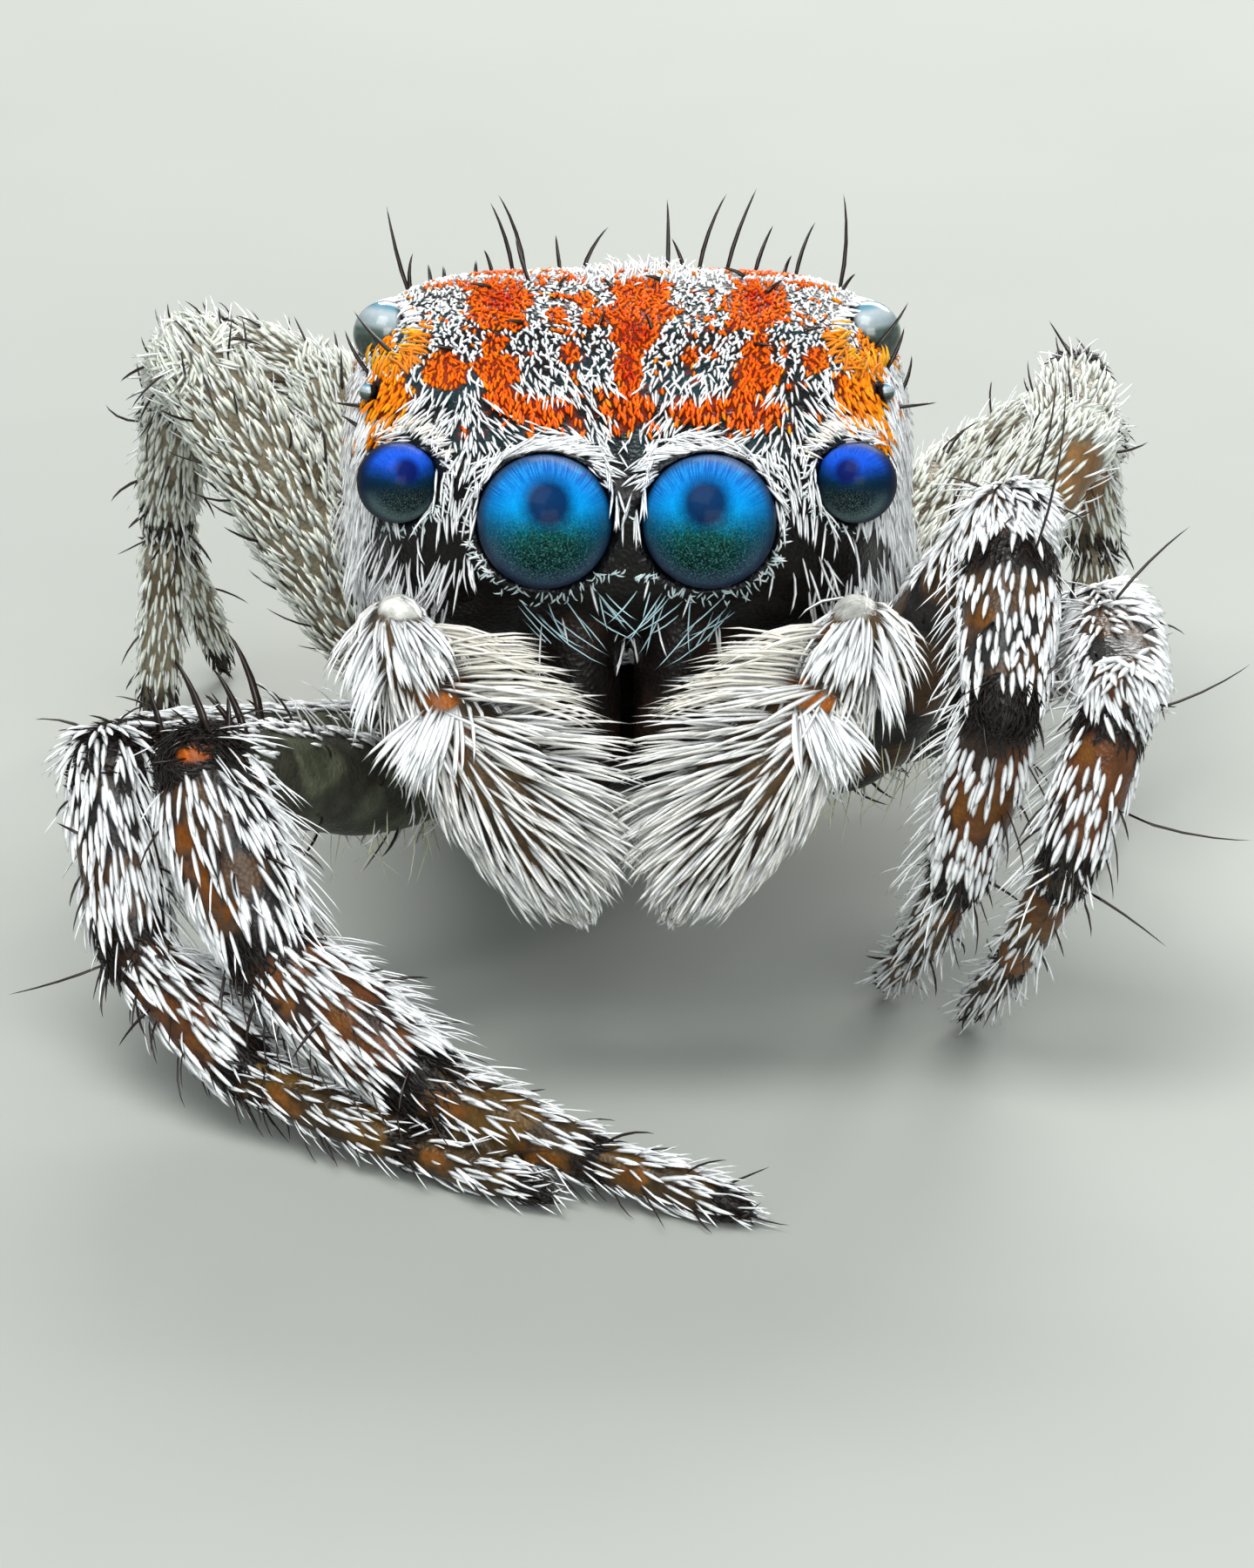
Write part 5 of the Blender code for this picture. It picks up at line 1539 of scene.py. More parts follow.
def coat_carapace(surface, shell, materials):
    """Scales over the rest of the carapace, longer on its flanks."""
    piece = CoatPiece("coat_carapace")
    roots = Roots(surface, shell, DENSITIES["carapace"], 12, shares=(0.2, 1.0))
    roots.keep((roots.places[:, 1] >= 1.10) | (roots.normals[:, 2] <= -0.2))
    lie, flank = face_flow(roots)
    lie = roots.strewn(lie, 0.25)
    colour, _ = head_colour(roots.places, roots.random)
    piece.grow(roots, lie, (0.045 + 0.05 * flank, 0.8, 1.25), (0.0145, 0.85, 1.2), (8, 26), 4, colour)
    piece.build(materials["scale"], "face_coat")


# Hair round the eyes. Each row: eye, first and last degrees round it from its outer side up, hairs,
# distance from the eye and length as shares of its radius, width, degrees of turn towards the inner side,
# degrees of spread, colour. A length below 0 lies over the eye.
RIM_HAIR = (
    ("front_middle", 196, 344, 44, 1.07, 0.20, 0.0070, 0, 60, SILK),
    ("front_middle", 205, 335, 18, 1.17, 0.18, 0.0065, 0, 80, SILK),
    ("front_middle", 20, 150, 66, 1.02, 0.34, 0.0078, 82, 10, WHITE),
    ("front_middle", 36, 144, 46, 1.10, 0.44, 0.0085, 72, 14, WHITE),
    ("front_middle", -52, 24, 24, 1.08, 0.22, 0.0075, 30, 60, WHITE),
    ("front_side", 190, 350, 34, 1.08, 0.30, 0.0070, 0, 50, SILK),
    ("front_side", 200, 340, 14, 1.26, 0.28, 0.0065, 0, 70, SILK),
    ("front_side", 52, 150, 50, 1.60, -0.62, 0.0105, 0, 12, CREAM),
    ("front_side", 56, 140, 34, 1.38, -0.40, 0.0100, 0, 12, WHITE),
    ("front_side", 150, 218, 18, 1.13, 0.40, 0.0080, 40, 40, WHITE),
    ("front_side", -60, 30, 26, 1.14, 0.62, 0.0080, 0, 20, WHITE),
    ("rear", 170, 300, 34, 1.10, -0.75, 0.0130, 0, 30, YELLOW),
    ("rear", 180, 290, 30, 1.34, -0.85, 0.0130, 0, 30, ORANGE_RIM),
    ("rear", 90, 175, 26, 1.12, -0.80, 0.0110, 0, 30, WHITE),
)


def picture_net(shape, shares):
    """A net of points over the side of a shape that the picture shows, to look up its places on the shape."""
    share, part = grid(np.linspace(*shares, 240), np.arange(400) / 400)
    turn = shape.turn_at(part)
    places, outward, _ = shape.at(share, turn)
    seen = outward @ -AHEAD > 0.02
    return share[seen], turn[seen], np.stack(picture_place(places), 1)[seen]


def spots_on_map(surface, shape, net, places, seed):
    """Roots on a shape at places of the picture."""
    share, turn, shown = net
    found = [int(np.argmin(((shown - place) ** 2).sum(1))) for place in np.asarray(places, float)]
    return Spots(surface, shape, share[found], turn[found], seed, reach=0.09)


def aimed(roots, ways):
    """Lie and lift of hairs that point a given way."""
    ways = unit(ways)
    rise = (ways * roots.normals).sum(1)
    return ways - roots.normals * rise[:, None], np.arcsin(np.clip(rise, -0.2, 1.0))


def reaching(roots, tips, away, least):
    """Lie, length and lift of hairs with their tips at places of the picture, so far off along the view."""
    steps = (np.asarray(tips, float)[roots.good] - np.stack(picture_place(roots.places), 1)) * PIXEL
    ways = picture_way(steps) + away * AHEAD
    lie, lift = aimed(roots, ways)
    return lie, np.linalg.norm(ways, axis=1), np.maximum(lift, least)


def eye_hair(piece, surface, shell, net):
    """Rows of hair round the eyes."""
    for row, (kind, first, last, count, away, long, width, bend, lean, colour) in enumerate(RIM_HAIR):
        over = kind == "rear"
        for side in SIDES.values():
            random = np.random.default_rng(60 + 2 * row + (side > 0))
            radius = EYES[kind][3]
            angle = np.radians(np.linspace(first, last, count) + random.normal(0, 3, count))
            reach = radius / PIXEL * away * random.uniform(0.98, 1.06, count)
            steps = np.stack([side * np.cos(angle) * reach, -np.sin(angle) * reach], 1)
            roots = spots_on_map(surface, shell, net, eye_place(kind, side) + steps, 90 + row)
            angle = (angle + np.radians(bend + random.normal(0, lean * 0.5, count)))[roots.good]
            ways = picture_way(np.stack([side * np.cos(angle), -np.sin(angle)], 1))
            lie, _ = aimed(roots, ways * np.sign(long))
            length = abs(long) * radius * roots.vary(0.75, 1.25)
            width_there, lift = width * roots.vary(0.8, 1.2), roots.vary(16, 34) + 18 * over
            tone = roots.vary(0.8, 1.02)[:, None]
            curl = np.radians(roots.random.normal(0, lean, roots.count()))
            piece.grow(roots, lie, length, width_there, lift, -4, colour * tone, rings=3, curl=curl,
                       clear_of_eyes=not over)


# Cheek hair grows below each row, from so far out from the midline.
CHEEK_STEPS = ((560, 312), (614, 236), (636, -1))
# Hair in two rows between the large eyes: out from its own middle column and down, at the top and the bottom.
STRIP_MIDDLE = 722
STRIP = ((40, 486), (6, 598))
# Long thin hair below the eyes, from the middle outward.
CHIN = ((10, 676), (128, 690))
CHIN_HAIR = hue(190, 226, 232)
# The tuft of the nape: its own midline, half width, and the stretch of the back that it stands on.
NAPE_MIDDLE = 0.04
NAPE_HALF = 0.25
NAPE_SPAN = (1.00, 1.36)


def cheek_hair(piece, surface, shell):
    roots = Roots(surface, shell, DENSITIES["cheek"], 41, shares=(0.0, 0.75))
    across, down = picture_place(roots.places)
    below = np.any([(down > row) & (np.abs(across - MIDLINE) > out) for row, out in CHEEK_STEPS], 0)
    clumped = roots.vary(0.1, 1.15) < smooth(-1.0, 1.0, CLUMP_FIELD(roots.places))
    outward = np.abs(roots.normals[:, 0]) > 0.40
    roots.keep(outward & below & (roots.places[:, 1] < 1.3) & (roots.places[:, 2] > 1.05) & clumped)
    clump = CLUMP_FIELD(roots.places + 1.0)
    side = np.sign(roots.places[:, 0])[:, None]
    lie = roots.strewn(vec((0, -0.35, -1.0)) + side * vec((0.35, 0, 0)), 0.12)
    length, width = 0.16 * roots.vary(0.6, 1.3), 0.0085 * roots.vary(0.8, 1.2)
    lift, settle, tone = roots.vary(14, 44), roots.vary(-6, 16), roots.vary(0.8, 1.02)[:, None]
    piece.grow(roots, lie, length, width, lift, settle, WHITE * tone, rings=3,
               curl=0.5 * clump + roots.vary(-0.2, 0.2))


def strip_hair(piece, surface, shell, net):
    """Hair that hangs between the large eyes."""
    count = 40
    high = np.random.default_rng(42).uniform(0, 1, count)
    side = np.where(np.arange(count) % 2 == 0, -1, 1)
    places = between(*STRIP, high) * np.stack([side, np.ones(count)], 1) + (STRIP_MIDDLE, 0)
    roots = spots_on_map(surface, shell, net, places, 43)
    lie = unit(-RISE + (0.30 * side[roots.good] * (high[roots.good] - 0.7))[:, None] * ACROSS)
    piece.grow(roots, lie, (0.105, 0.7, 1.2), 0.0085, 24, 4, WHITE, rings=3, curl=(-0.25, 0.25))


def chin_hair(piece, surface, shell, net):
    """Long thin bluish hair over the dark face below the eyes."""
    count = 34
    random = np.random.default_rng(44)
    out = random.uniform(0.0, 1, count)
    side = np.where(np.arange(count) % 2 == 0, -1, 1)
    places = between(*CHIN, out) * np.stack([side, np.ones(count)], 1) + (MIDLINE, 0)
    places[:, 1] += random.uniform(-6, 24, count)
    roots = spots_on_map(surface, shell, net, places, 45)
    side, out = side[roots.good], out[roots.good]
    lie, _ = aimed(roots, (-side * roots.vary(0.1, 1.3))[:, None] * ACROSS - RISE)
    piece.grow(roots, lie, (0.13 + 0.15 * out, 0.6, 1.2), 0.0052, (22, 44), 8, CHIN_HAIR, rings=3,
               curl=(-0.4, 0.4))


def nape_hair(piece, surface, shell):
    """The upright white tuft behind the crest."""
    roots = Roots(surface, shell, DENSITIES["nape"], 46, shares=(0.3, 0.75))
    aside = np.abs(roots.places[:, 0] - NAPE_MIDDLE)
    first, last = NAPE_SPAN
    y = roots.places[:, 1]
    roots.keep((aside < NAPE_HALF) & (y > first) & (y < last) & (roots.normals[:, 2] > 0.5))
    lie = roots.strewn(vec((0, 0.5, 0)), 0.5)
    bushy = smooth(NAPE_HALF, 0.05, np.abs(roots.places[:, 0] - NAPE_MIDDLE))
    piece.grow(roots, lie, (0.022 + 0.045 * bushy, 0.6, 1.2), 0.0095, (45, 80), (10, 50), WHITE, rings=3)


def face_hair(surface, shell, net, materials):
    """Long hair of the head."""
    piece = CoatPiece("coat_face_long")
    eye_hair(piece, surface, shell, net)
    cheek_hair(piece, surface, shell)
    strip_hair(piece, surface, shell, net)
    chin_hair(piece, surface, shell, net)
    nape_hair(piece, surface, shell)
    piece.build(materials["hair"], "face_coat")


# Black bristles of the head on the map of its markings: root across and down, tip across and down.
HEAD_BRISTLES = (
    (463, 323, 447, 230), (469, 325, 471, 287), (565, 307, 556, 282), (590, 305, 562, 228),
    (603, 300, 573, 219), (608, 323, 581, 270), (641, 300, 634, 265), (670, 300, 698, 256),
    (767, 300, 771, 224), (784, 303, 769, 269), (802, 300, 836, 218), (835, 303, 876, 212),
    (867, 309, 891, 254), (913, 314, 935, 250), (965, 327, 969, 218), (969, 329, 982, 309),
    (422, 428, 391, 378), (416, 466, 380, 464), (454, 408, 393, 363), (413, 490, 389, 470),
    (1005, 399, 1052, 349), (1018, 421, 1041, 372), (1027, 468, 1080, 463), (1034, 448, 1043, 403),
    (492, 318, 492, 298), (510, 316, 512, 300), (545, 312, 547, 294), (900, 312, 908, 288),
    (855, 318, 830, 332), (880, 335, 905, 322), (760, 322, 752, 345), (700, 330, 690, 318),
    (640, 330, 652, 312), (520, 400, 500, 420), (925, 380, 945, 392), (560, 330, 548, 352),
    (690, 372, 700, 352), (750, 378, 742, 356), (600, 372, 585, 390), (868, 396, 880, 415),
)


def drawn_bristles(piece, surface, shape, net, table, width, seed, box=0, curl=0.5):
    """Bristles with their roots and tips at places of the picture."""
    table = np.array(table, float)
    roots = spots_on_map(surface, shape, net, table[:, :2], seed)
    lie, length, lift = reaching(roots, table[:, 2:], 0.03, 0.4)
    piece.grow(roots, lie, 1.04 * length, width, np.degrees(lift + 0.20), np.degrees(lift - 0.20),
               DARK_HAIR, box, flat=0.8, curl=(-curl, curl), rings=5, clear_of_eyes=False)


def leg_kind(word, number):
    """Which coat a leg has: that of the front legs of one side, or that of the hind ones."""
    return "hind" if number > 2 else word


# Scales of each leg length: how long they are.
SCALE_LENGTHS = {
    "femur": {"right": 0.105, "left": 0.100, "hind": 0.088},
    "patella": {"right": 0.130, "left": 0.096, "hind": 0.082},
    "tibia": {"right": 0.130, "left": 0.100, "hind": 0.082},
    "foot": {"right": 0.110, "left": 0.100, "hind": 0.075},
}
# Scales for each square and their width, on femurs and hind legs and on the rest of the front legs.
SCALES = {"bushy": (1150, 0.0150), "right": (800, 0.0185), "left": (760, 0.0190)}
# Scales cover what lies ahead of their roots, so on the side where the bare patches are large none grow so
# far behind one either: how far, and how strongly.
BARE_AHEAD = {"right": ((0.0, 1.0), (0.10, 0.85), (0.18, 0.6)), "left": ((0.0, 1.0),)}
# Silky hair of the legs: hairs for each square, how far towards the body they face, length, and lift.
FRINGE = {
    "right": ((420, 0.50, 9, 0.21, (24, 44)), (50, -9, 0.50, 0.14, (30, 54))),
    "left": ((480, 0.30, 9, 0.20, (26, 50)), (40, -9, 0.30, 0.12, (30, 50))),
    "right foot": ((300, -9, 9, 0.19, (20, 42)),),
    "left foot": ((320, -9, 9, 0.21, (20, 40)),),
    "hind": ((260, 0.15, 9, 0.11, (24, 46)), (50, -9, 0.15, 0.10, (34, 60))),
    "hind foot": ((200, -9, 9, 0.10, (24, 46)),),
}
HIP_HAIR = hue(222, 226, 190)


def bare_thigh(part, roots):
    """How bare a front femur is at its roots: smooth skin below and in front, up to where the knee begins."""
    if part != "femur":
        return np.zeros(roots.count())
    return smooth(-0.62, 0.05, roots.seen() - 0.7 * roots.normals[:, 2]) * smooth(0.90, 0.78, roots.share)


def scale_gaps(limb, word, number, part, roots):
    """How bare a front leg is between its scales: patches, the smooth thigh and drawn-out gaps."""
    gaps = [
        weight * bare_patch(word, number, part, roots.share + ahead, roots.turn, roots.places)
        for ahead, weight in BARE_AHEAD[word]
    ]
    gaps.append(bare_thigh(part, roots))
    drawn_out = (roots.share * limb.length * 0.35, 0.12 * np.cos(roots.turn), 0.12 * np.sin(roots.turn))
    clump = CLUMP_FIELD(np.stack(drawn_out, 1) + 0.3 * number)
    gaps.append(smooth(0.3, 1.2, clump) * (0.35 if part == "femur" else 0.75))
    if part == "foot":
        gaps.append(np.full(roots.count(), 0.45))
    return np.max(gaps, 0)


def leg_scales(piece, surface, limb, word, number, part, box, seed):
    """Spindles in loose rows along the leg, with bare skin between them."""
    front = number < 3
    bushy = part == "femur" or not front
    density, width = SCALES["bushy" if bushy else word]
    roots = Roots(surface, limb, density, seed)
    bare = dark_ring(word, number, part, roots.share)
    if front:
        bare = np.maximum(bare, scale_gaps(limb, word, number, part, roots))
    bare = np.maximum(bare, 0.9 * picture_bare(word, number, part, roots.places))
    grown = roots.vary(0, 0.98) > bare
    lie = roots.along
    if front and word == "left" and part in ("femur", "patella"):
        late = smooth(0.66, 0.84, roots.share) if part == "femur" else np.full(roots.count(), number == 2)
        lie = lie * (1 - late)[:, None] + unit(0.42 * ACROSS - RISE) * late[:, None]
    lie = roots.strewn(lie, 0.10 if front else 0.14)
    tone = roots.vary(0.86, 1.04)[:, None]
    lift = roots.vary(10, 26) if front else roots.vary(12, 38)
    length = SCALE_LENGTHS[part][leg_kind(word, number)]
    width = width * (0.8 if part == "foot" else 1.0)
    colour = (WHITE if front else PALE_GREEN) * tone
    piece.grow(roots, lie, (length, 0.75, 1.2), (width, 0.8, 1.2), lift, 4, colour, box,
               rings=2 if bushy else 3, where=grown)


def leg_fringe(piece, surface, limb, word, number, part, box, seed):
    """Long silky hair: thick towards the body, thin behind, and none over the front of a left leg."""
    front, foot = number < 3, part == "foot"
    inward = unit(vec((-SIDES[word], 0, 0.35 if word == "right" else 0.0)))
    short = 0.7 if foot else 1.0
    for density, low, high, long, lift in FRINGE[leg_kind(word, number) + " foot" * foot]:
        roots = Roots(surface, limb, density, seed + (low > 0))
        facing = roots.normals @ inward if front else roots.vary(-0.3, 0.9)
        over = (roots.seen() < 0.35) | (word == "right") | (not front) | foot
        roots.keep((facing > low) & (facing < high) & over)
        away = 0.6 * inward * (word == "left" and front and low > 0)
        if front:
            roots.keep((bare_thigh(part, roots) < 0.3) & ((roots.share < 0.75) | (part != "femur")))
        lie = roots.strewn(roots.along + away, 0.16)
        piece.grow(roots, lie, (long * short, 0.6, 1.2), (0.0080, 0.8, 1.2), lift, (14, 34),
                   (WHITE, 0.85, 1.05), box, rings=3, curl=(-0.25, 0.25))


def coat_leg(surface, word, number, limbs, materials):
    """The coat of one leg: scales, fringe, the dark fuzz of its rings and thin hair under its hip."""
    piece = CoatPiece("coat_leg_%d_%s" % (number, word), 4)
    for box, part in enumerate(LENGTHS):
        limb = limbs[part]
        seed = 100 * number + 10 * box + (0 if word == "right" else 5)
        leg_scales(piece, surface, limb, word, number, part, box, seed)
        leg_fringe(piece, surface, limb, word, number, part, box, seed + 1)

        roots = Roots(surface, limb, DENSITIES["dark ring"], seed + 3)
        roots.keep(dark_ring(word, number, part, roots.share) > 0.35)
        roots.keep(picture_bare(word, number, part, roots.places) < 0.4)
        lie = roots.strewn(roots.along, 0.25)
        piece.grow(roots, lie, (0.060, 0.7, 1.3), 0.0075, (12, 44), 10, (DARK_HAIR, 0.6, 1.8), box)

        if part == "femur" and number < 3:
            fall = vec((0, -0.3, -1))
            roots = Roots(surface, limb, DENSITIES["hip"], seed + 4, shares=(0.0, 0.5))
            roots.keep(roots.normals[:, 2] < 0.2)
            piece.grow(roots, fall, (0.22, 0.5, 1.2), 0.0045, (10, 50), (0, 40), HIP_HAIR, box, rings=3,
                       curl=(-0.4, 0.4))
            roots = Roots(surface, limb, DENSITIES["thigh"], seed + 6, shares=(0.1, 0.5))
            roots.keep(bare_thigh(part, roots) > 0.5)
            piece.grow(roots, fall + 0.5 * roots.along, (0.13, 0.6, 1.2), 0.0080, (30, 60), (-10, 10),
                       WHITE, box, rings=4, curl=(-1.2, 1.2))
    piece.build(materials["hair"], "banded_coat" if number < 3 else "white_coat")


# Large bristles of the front legs in the picture: root across and down, tip across and down, width.
LEG_BRISTLES = {
    ("right", 1, "femur"): (
        (240, 842, 202, 755, 0.027), (262, 842, 262, 796, 0.021), (282, 846, 246, 765, 0.024),
        (298, 828, 262, 724, 0.027), (268, 838, 228, 800, 0.021),
    ),
    ("right", 1, "tibia"): ((372, 1168, 330, 1216, 0.013), (470, 1230, 452, 1282, 0.013)),
    ("right", 1, "foot"): (
        (640, 1330, 648, 1392, 0.010), (700, 1370, 690, 1420, 0.010), (760, 1390, 770, 1440, 0.009),
    ),
    ("right", 2, "femur"): ((186, 852, 156, 788, 0.024), (150, 860, 118, 838, 0.011)),
    ("right", 2, "patella"): ((96, 960, 62, 940, 0.011),),
    ("right", 2, "tibia"): (
        (112, 1110, 6, 1140, 0.009), (206, 1248, 134, 1352, 0.009), (170, 1160, 130, 1200, 0.011),
    ),
    ("right", 2, "foot"): ((400, 1330, 398, 1398, 0.010), (470, 1350, 462, 1412, 0.009)),
    ("left", 1, "patella"): (
        (1182, 560, 1216, 420, 0.009), (1186, 640, 1250, 440, 0.009), (1130, 560, 1085, 545, 0.010),
    ),
    ("left", 1, "tibia"): ((1200, 760, 1238, 740, 0.010),),
    ("left", 1, "foot"): ((1130, 1010, 1180, 1040, 0.010),),
    ("left", 2, "patella"): ((1280, 690, 1372, 605, 0.010), (1226, 700, 1270, 640, 0.011)),
    ("left", 2, "tibia"): ((1338, 815, 1438, 760, 0.009), (1320, 945, 1438, 965, 0.009)),
    ("left", 2, "foot"): ((1290, 1040, 1340, 1090, 0.010),),
}
# Fine bristles for each square: all over a leg, and under the outer lengths of a front one.
FINE_BRISTLES = {"right": (34, 210), "left": (20, 50)}


def leg_bristles(surface, legs, materials):
    """Black bristles: fine ones over and under the legs, the large ones of the picture, and the claws."""
    piece = CoatPiece("bristles_legs", 32)
    box = 0
    for (word, number), limbs in legs.items():
        all_over, under = FINE_BRISTLES[word]
        for part in LENGTHS:
            limb = limbs[part]
            seed = 2000 + box
            roots = Roots(surface, limb, all_over, seed)
            lie = roots.strewn(roots.along, 0.3)
            piece.grow(roots, lie, (0.10, 0.19), (0.006, 0.011), (38, 62), (10, 30), DARK_HAIR, box, flat=0.8,
                       rings=4, curl=(-0.5, 0.5))
            if number < 3 and part in ("tibia", "foot"):
                roots = Roots(surface, limb, under, seed + 40)
                roots.keep(roots.normals @ unit(vec((SIDES[word] * 0.6, 0, -1.0))) > 0.35)
                piece.grow(roots, roots.along, (0.09, 0.21), (0.005, 0.008), (30, 60), (10, 40),
                           DARK_HAIR, box, flat=0.8, rings=3, curl=(-0.3, 0.3))
            if (word, number, part) in LEG_BRISTLES:
                net = picture_net(limb, (-limb.dome(0), 1 + limb.dome(-1)))
                for *ends, width in LEG_BRISTLES[word, number, part]:
                    drawn_bristles(piece, surface, limb, net, [ends], width, seed, box, 0.35)
            box += 1
        foot = limbs["foot"]
        for turn in (-0.5, 0.5):
            claw = Spots(surface, foot, [1 + 0.6 * foot.dome(-1)], [turn], seed)
            piece.grow(claw, claw.along, 0.055, 0.018, 25, -60, DARK_HAIR, box - 1, flat=0.9, rings=4)
    piece.build(materials["bristle"], "dark_cuticle")


# Hair of each length of a palp: hairs for each square, length, lift at the root, and the angle it settles to.
PALP_HAIR = {
    "femur": (900, 0.17, (14, 38), 2),
    "tibia": (800, 0.17, (14, 34), 4),
    "bulb": (1020, 0.225, (18, 44), 8),
}
# Columns from the midline between which its hair changes its way, inside and outside, and rows and columns
# of the fan below.
PALP_INNER = (238, 212)
PALP_OUTER = (272, 294)
PALP_FAN_ROWS = (790, 806)
PALP_FAN_OUT = (205, 240)
# Tufts of the palps in the picture, as on the spider's right: hairs, the line of their roots, that of their
# tips, width and colour. Those of the other palp are their mirror image.
PALP_TUFTS = (
    (46, (504, 744), (534, 806), (618, 730), (706, 834), 0.0125, CREAM),
    (22, (490, 716), (504, 744), (580, 742), (640, 782), 0.0120, CREAM),
    (30, (428, 706), (442, 772), (396, 806), (414, 858), 0.0130, WHITE),
    (26, (434, 714), (486, 708), (452, 786), (526, 780), 0.0150, WHITE),
    (24, (446, 740), (496, 736), (466, 806), (522, 792), 0.0150, WHITE),
    (34, (483, 818), (520, 838), (424, 878), (486, 930), 0.0145, WHITE),
    (22, (500, 812), (532, 826), (462, 884), (512, 914), 0.0145, WHITE),
)


def palp_ways(out, down):
    """The way a palp's hair lies on the map: hanging outside, sweeping inward inside, and fanned below."""
    inner, outer = smooth(*PALP_INNER, out), smooth(*PALP_OUTER, out)
    fan = smooth(*PALP_FAN_ROWS, down)
    aside = (0.42 - 0.85 * outer + 1.2 * inner) * (1 - fan) - (0.2 + 0.6 * smooth(*PALP_FAN_OUT, out)) * fan
    return np.stack([aside, np.ones(len(out))], 1)


def palp_tufts(piece, surface, limb, side):
    net = picture_net(limb, (0.0, 1.0))
    for row, (hairs, first, last, first_tip, last_tip, width, colour) in enumerate(PALP_TUFTS):
        random = np.random.default_rng(790 + 2 * row + (side > 0))
        share = np.linspace(0, 1, hairs)
        places = between(first, last, share) + random.normal(0, 3.0, (hairs, 2))
        tips = between(first_tip, last_tip, share) + random.normal(0, 7.0, (hairs, 2))
        for spots in (places, tips):
            spots[:, 0] = MIDLINE + side * (MIDLINE - spots[:, 0])
        roots = spots_on_map(surface, limb, net, places, 792 + row)
        lie, length, lift = reaching(roots, tips, -0.05, 0.12)
        tone = roots.vary(0.86, 1.04)[:, None]
        piece.grow(roots, lie, length, (width, 0.8, 1.2), np.degrees(lift + 0.30), np.degrees(lift - 0.30),
                   colour * tone, 4, curl=(-0.15, 0.15), rings=3)


def bulb_lie(roots, facing, inward, drop):
    """Lie of a bulb's brush, how far it is fluffed out, how far it drapes, and for how long it reaches."""
    early = smooth(0.95, 0.20, roots.share)
    outside = smooth(0.2, -0.5, facing)
    lie = roots.along * (1 - 0.5 * early)[:, None] + inward * (0.15 + 0.85 * early * (1 - outside))[:, None]
    more = smooth(0.0, 0.75, facing) * early
    stretch = (1 + 0.4 * more) * (1 - 0.60 * smooth(0.62, 1.0, roots.share))
    return lie + drop * (0.38 + 0.5 * outside)[:, None], more, 10 * outside, stretch


def stalk_lie(roots, facing, inward, drop, ways):
    """The same for the upper lengths of a palp."""
    upward = np.clip(roots.normals[:, 2], 0, 1)
    lie = roots.along * 0.25 + drop + inward * np.clip(facing, -0.8, 0.8)[:, None]
    lie = unit(lie + FRONT * upward[:, None])
    shown = smooth(0.0, 0.4, roots.seen())[:, None]
    lie = lie * (1 - shown) + unit(picture_way(ways)) * shown
    more = 0.5 * smooth(0.3, 0.9, np.abs(facing)) * (1 - shown[:, 0])
    return lie, more, 62 * smooth(0.15, 0.8, upward), 1 + 0.4 * more


def coat_palp(surface, word, limbs, materials):
    """The bushy palp: hair hanging from its joints, and a brush of long hair on its bulb."""
    piece = CoatPiece("coat_palp_" + word, 5)
    side = SIDES[word]
    inward, drop = vec((-side, 0, 0)), vec((0, -0.15, -1))
    for box, (part, (density, length, lift, settle)) in enumerate(PALP_HAIR.items()):
        roots = Roots(surface, limbs[part], density, 700 + 10 * box + side)
        roots.keep(roots.vary(0, 1) > 0.96 * np.maximum(palp_bare(roots.places), palp_cap(roots.places)))
        facing = roots.normals @ inward
        reach = length * roots.vary(0.7, 1.15)
        if part == "bulb":
            lie, more, drape, stretch = bulb_lie(roots, facing, inward, drop)
            reach = reach * stretch
        else:
            across, down = picture_place(roots.places)
            out = side * (across - MIDLINE)
            ways = palp_ways(out, down) * (-side, 1)
            lie, more, drape, stretch = stalk_lie(roots, facing, inward, drop, ways)
            reach = room_above_spots(out, down, reach * stretch)
        lie = roots.strewn(unit(lie), 0.10)
        colour = blend_hues(WHITE, CREAM, roots.vary(0, 0.7)) * roots.vary(0.86, 1.04)[:, None]
        lift = roots.vary(*lift) + 26 * more
        if part == "bulb":
            lift = lift * (1 - 0.035 * drape)
        piece.grow(roots, lie, reach, (0.0140, 0.8, 1.2), lift, settle + 30 * more - drape, colour, box,
                   rings=3, curl=(-0.12, 0.12))
    palp_tufts(piece, surface, limbs["tibia"], side)
    piece.build(materials["hair"], "white_coat")


def room_above_spots(out, down, reach):
    """Shorter hair above the bare places of the palps, so that it ends where they begin."""
    for x, y, wide, high in PALP_BARE:
        room = (y - high - down) * PIXEL
        over = (np.abs(out - x) < 1.2 * wide) & (room > -2 * high * PIXEL) & (room < reach)
        reach = np.where(over, np.maximum(room, 0.03), reach)
    return reach


# Colours of the folded fan: two tones of its ground and of its bars, its rim, the band outside that.
FAN_GROUND = (hue(40, 178, 160), hue(26, 84, 170))
FAN_RED = (hue(206, 46, 10), hue(236, 110, 20))
FAN_RIM = hue(238, 214, 150)
FAN_BAND = hue(120, 96, 70)
# Where the bars cross the fan, as shares of its length.
FAN_BARS = (0.60, 0.74, 0.87)


def along_abdomen(y):
    """The share of the abdomen's length at which a place lies."""
    first, last = ABDOMEN[0][0], ABDOMEN[-1][0]
    return (y - first) / (last - first)


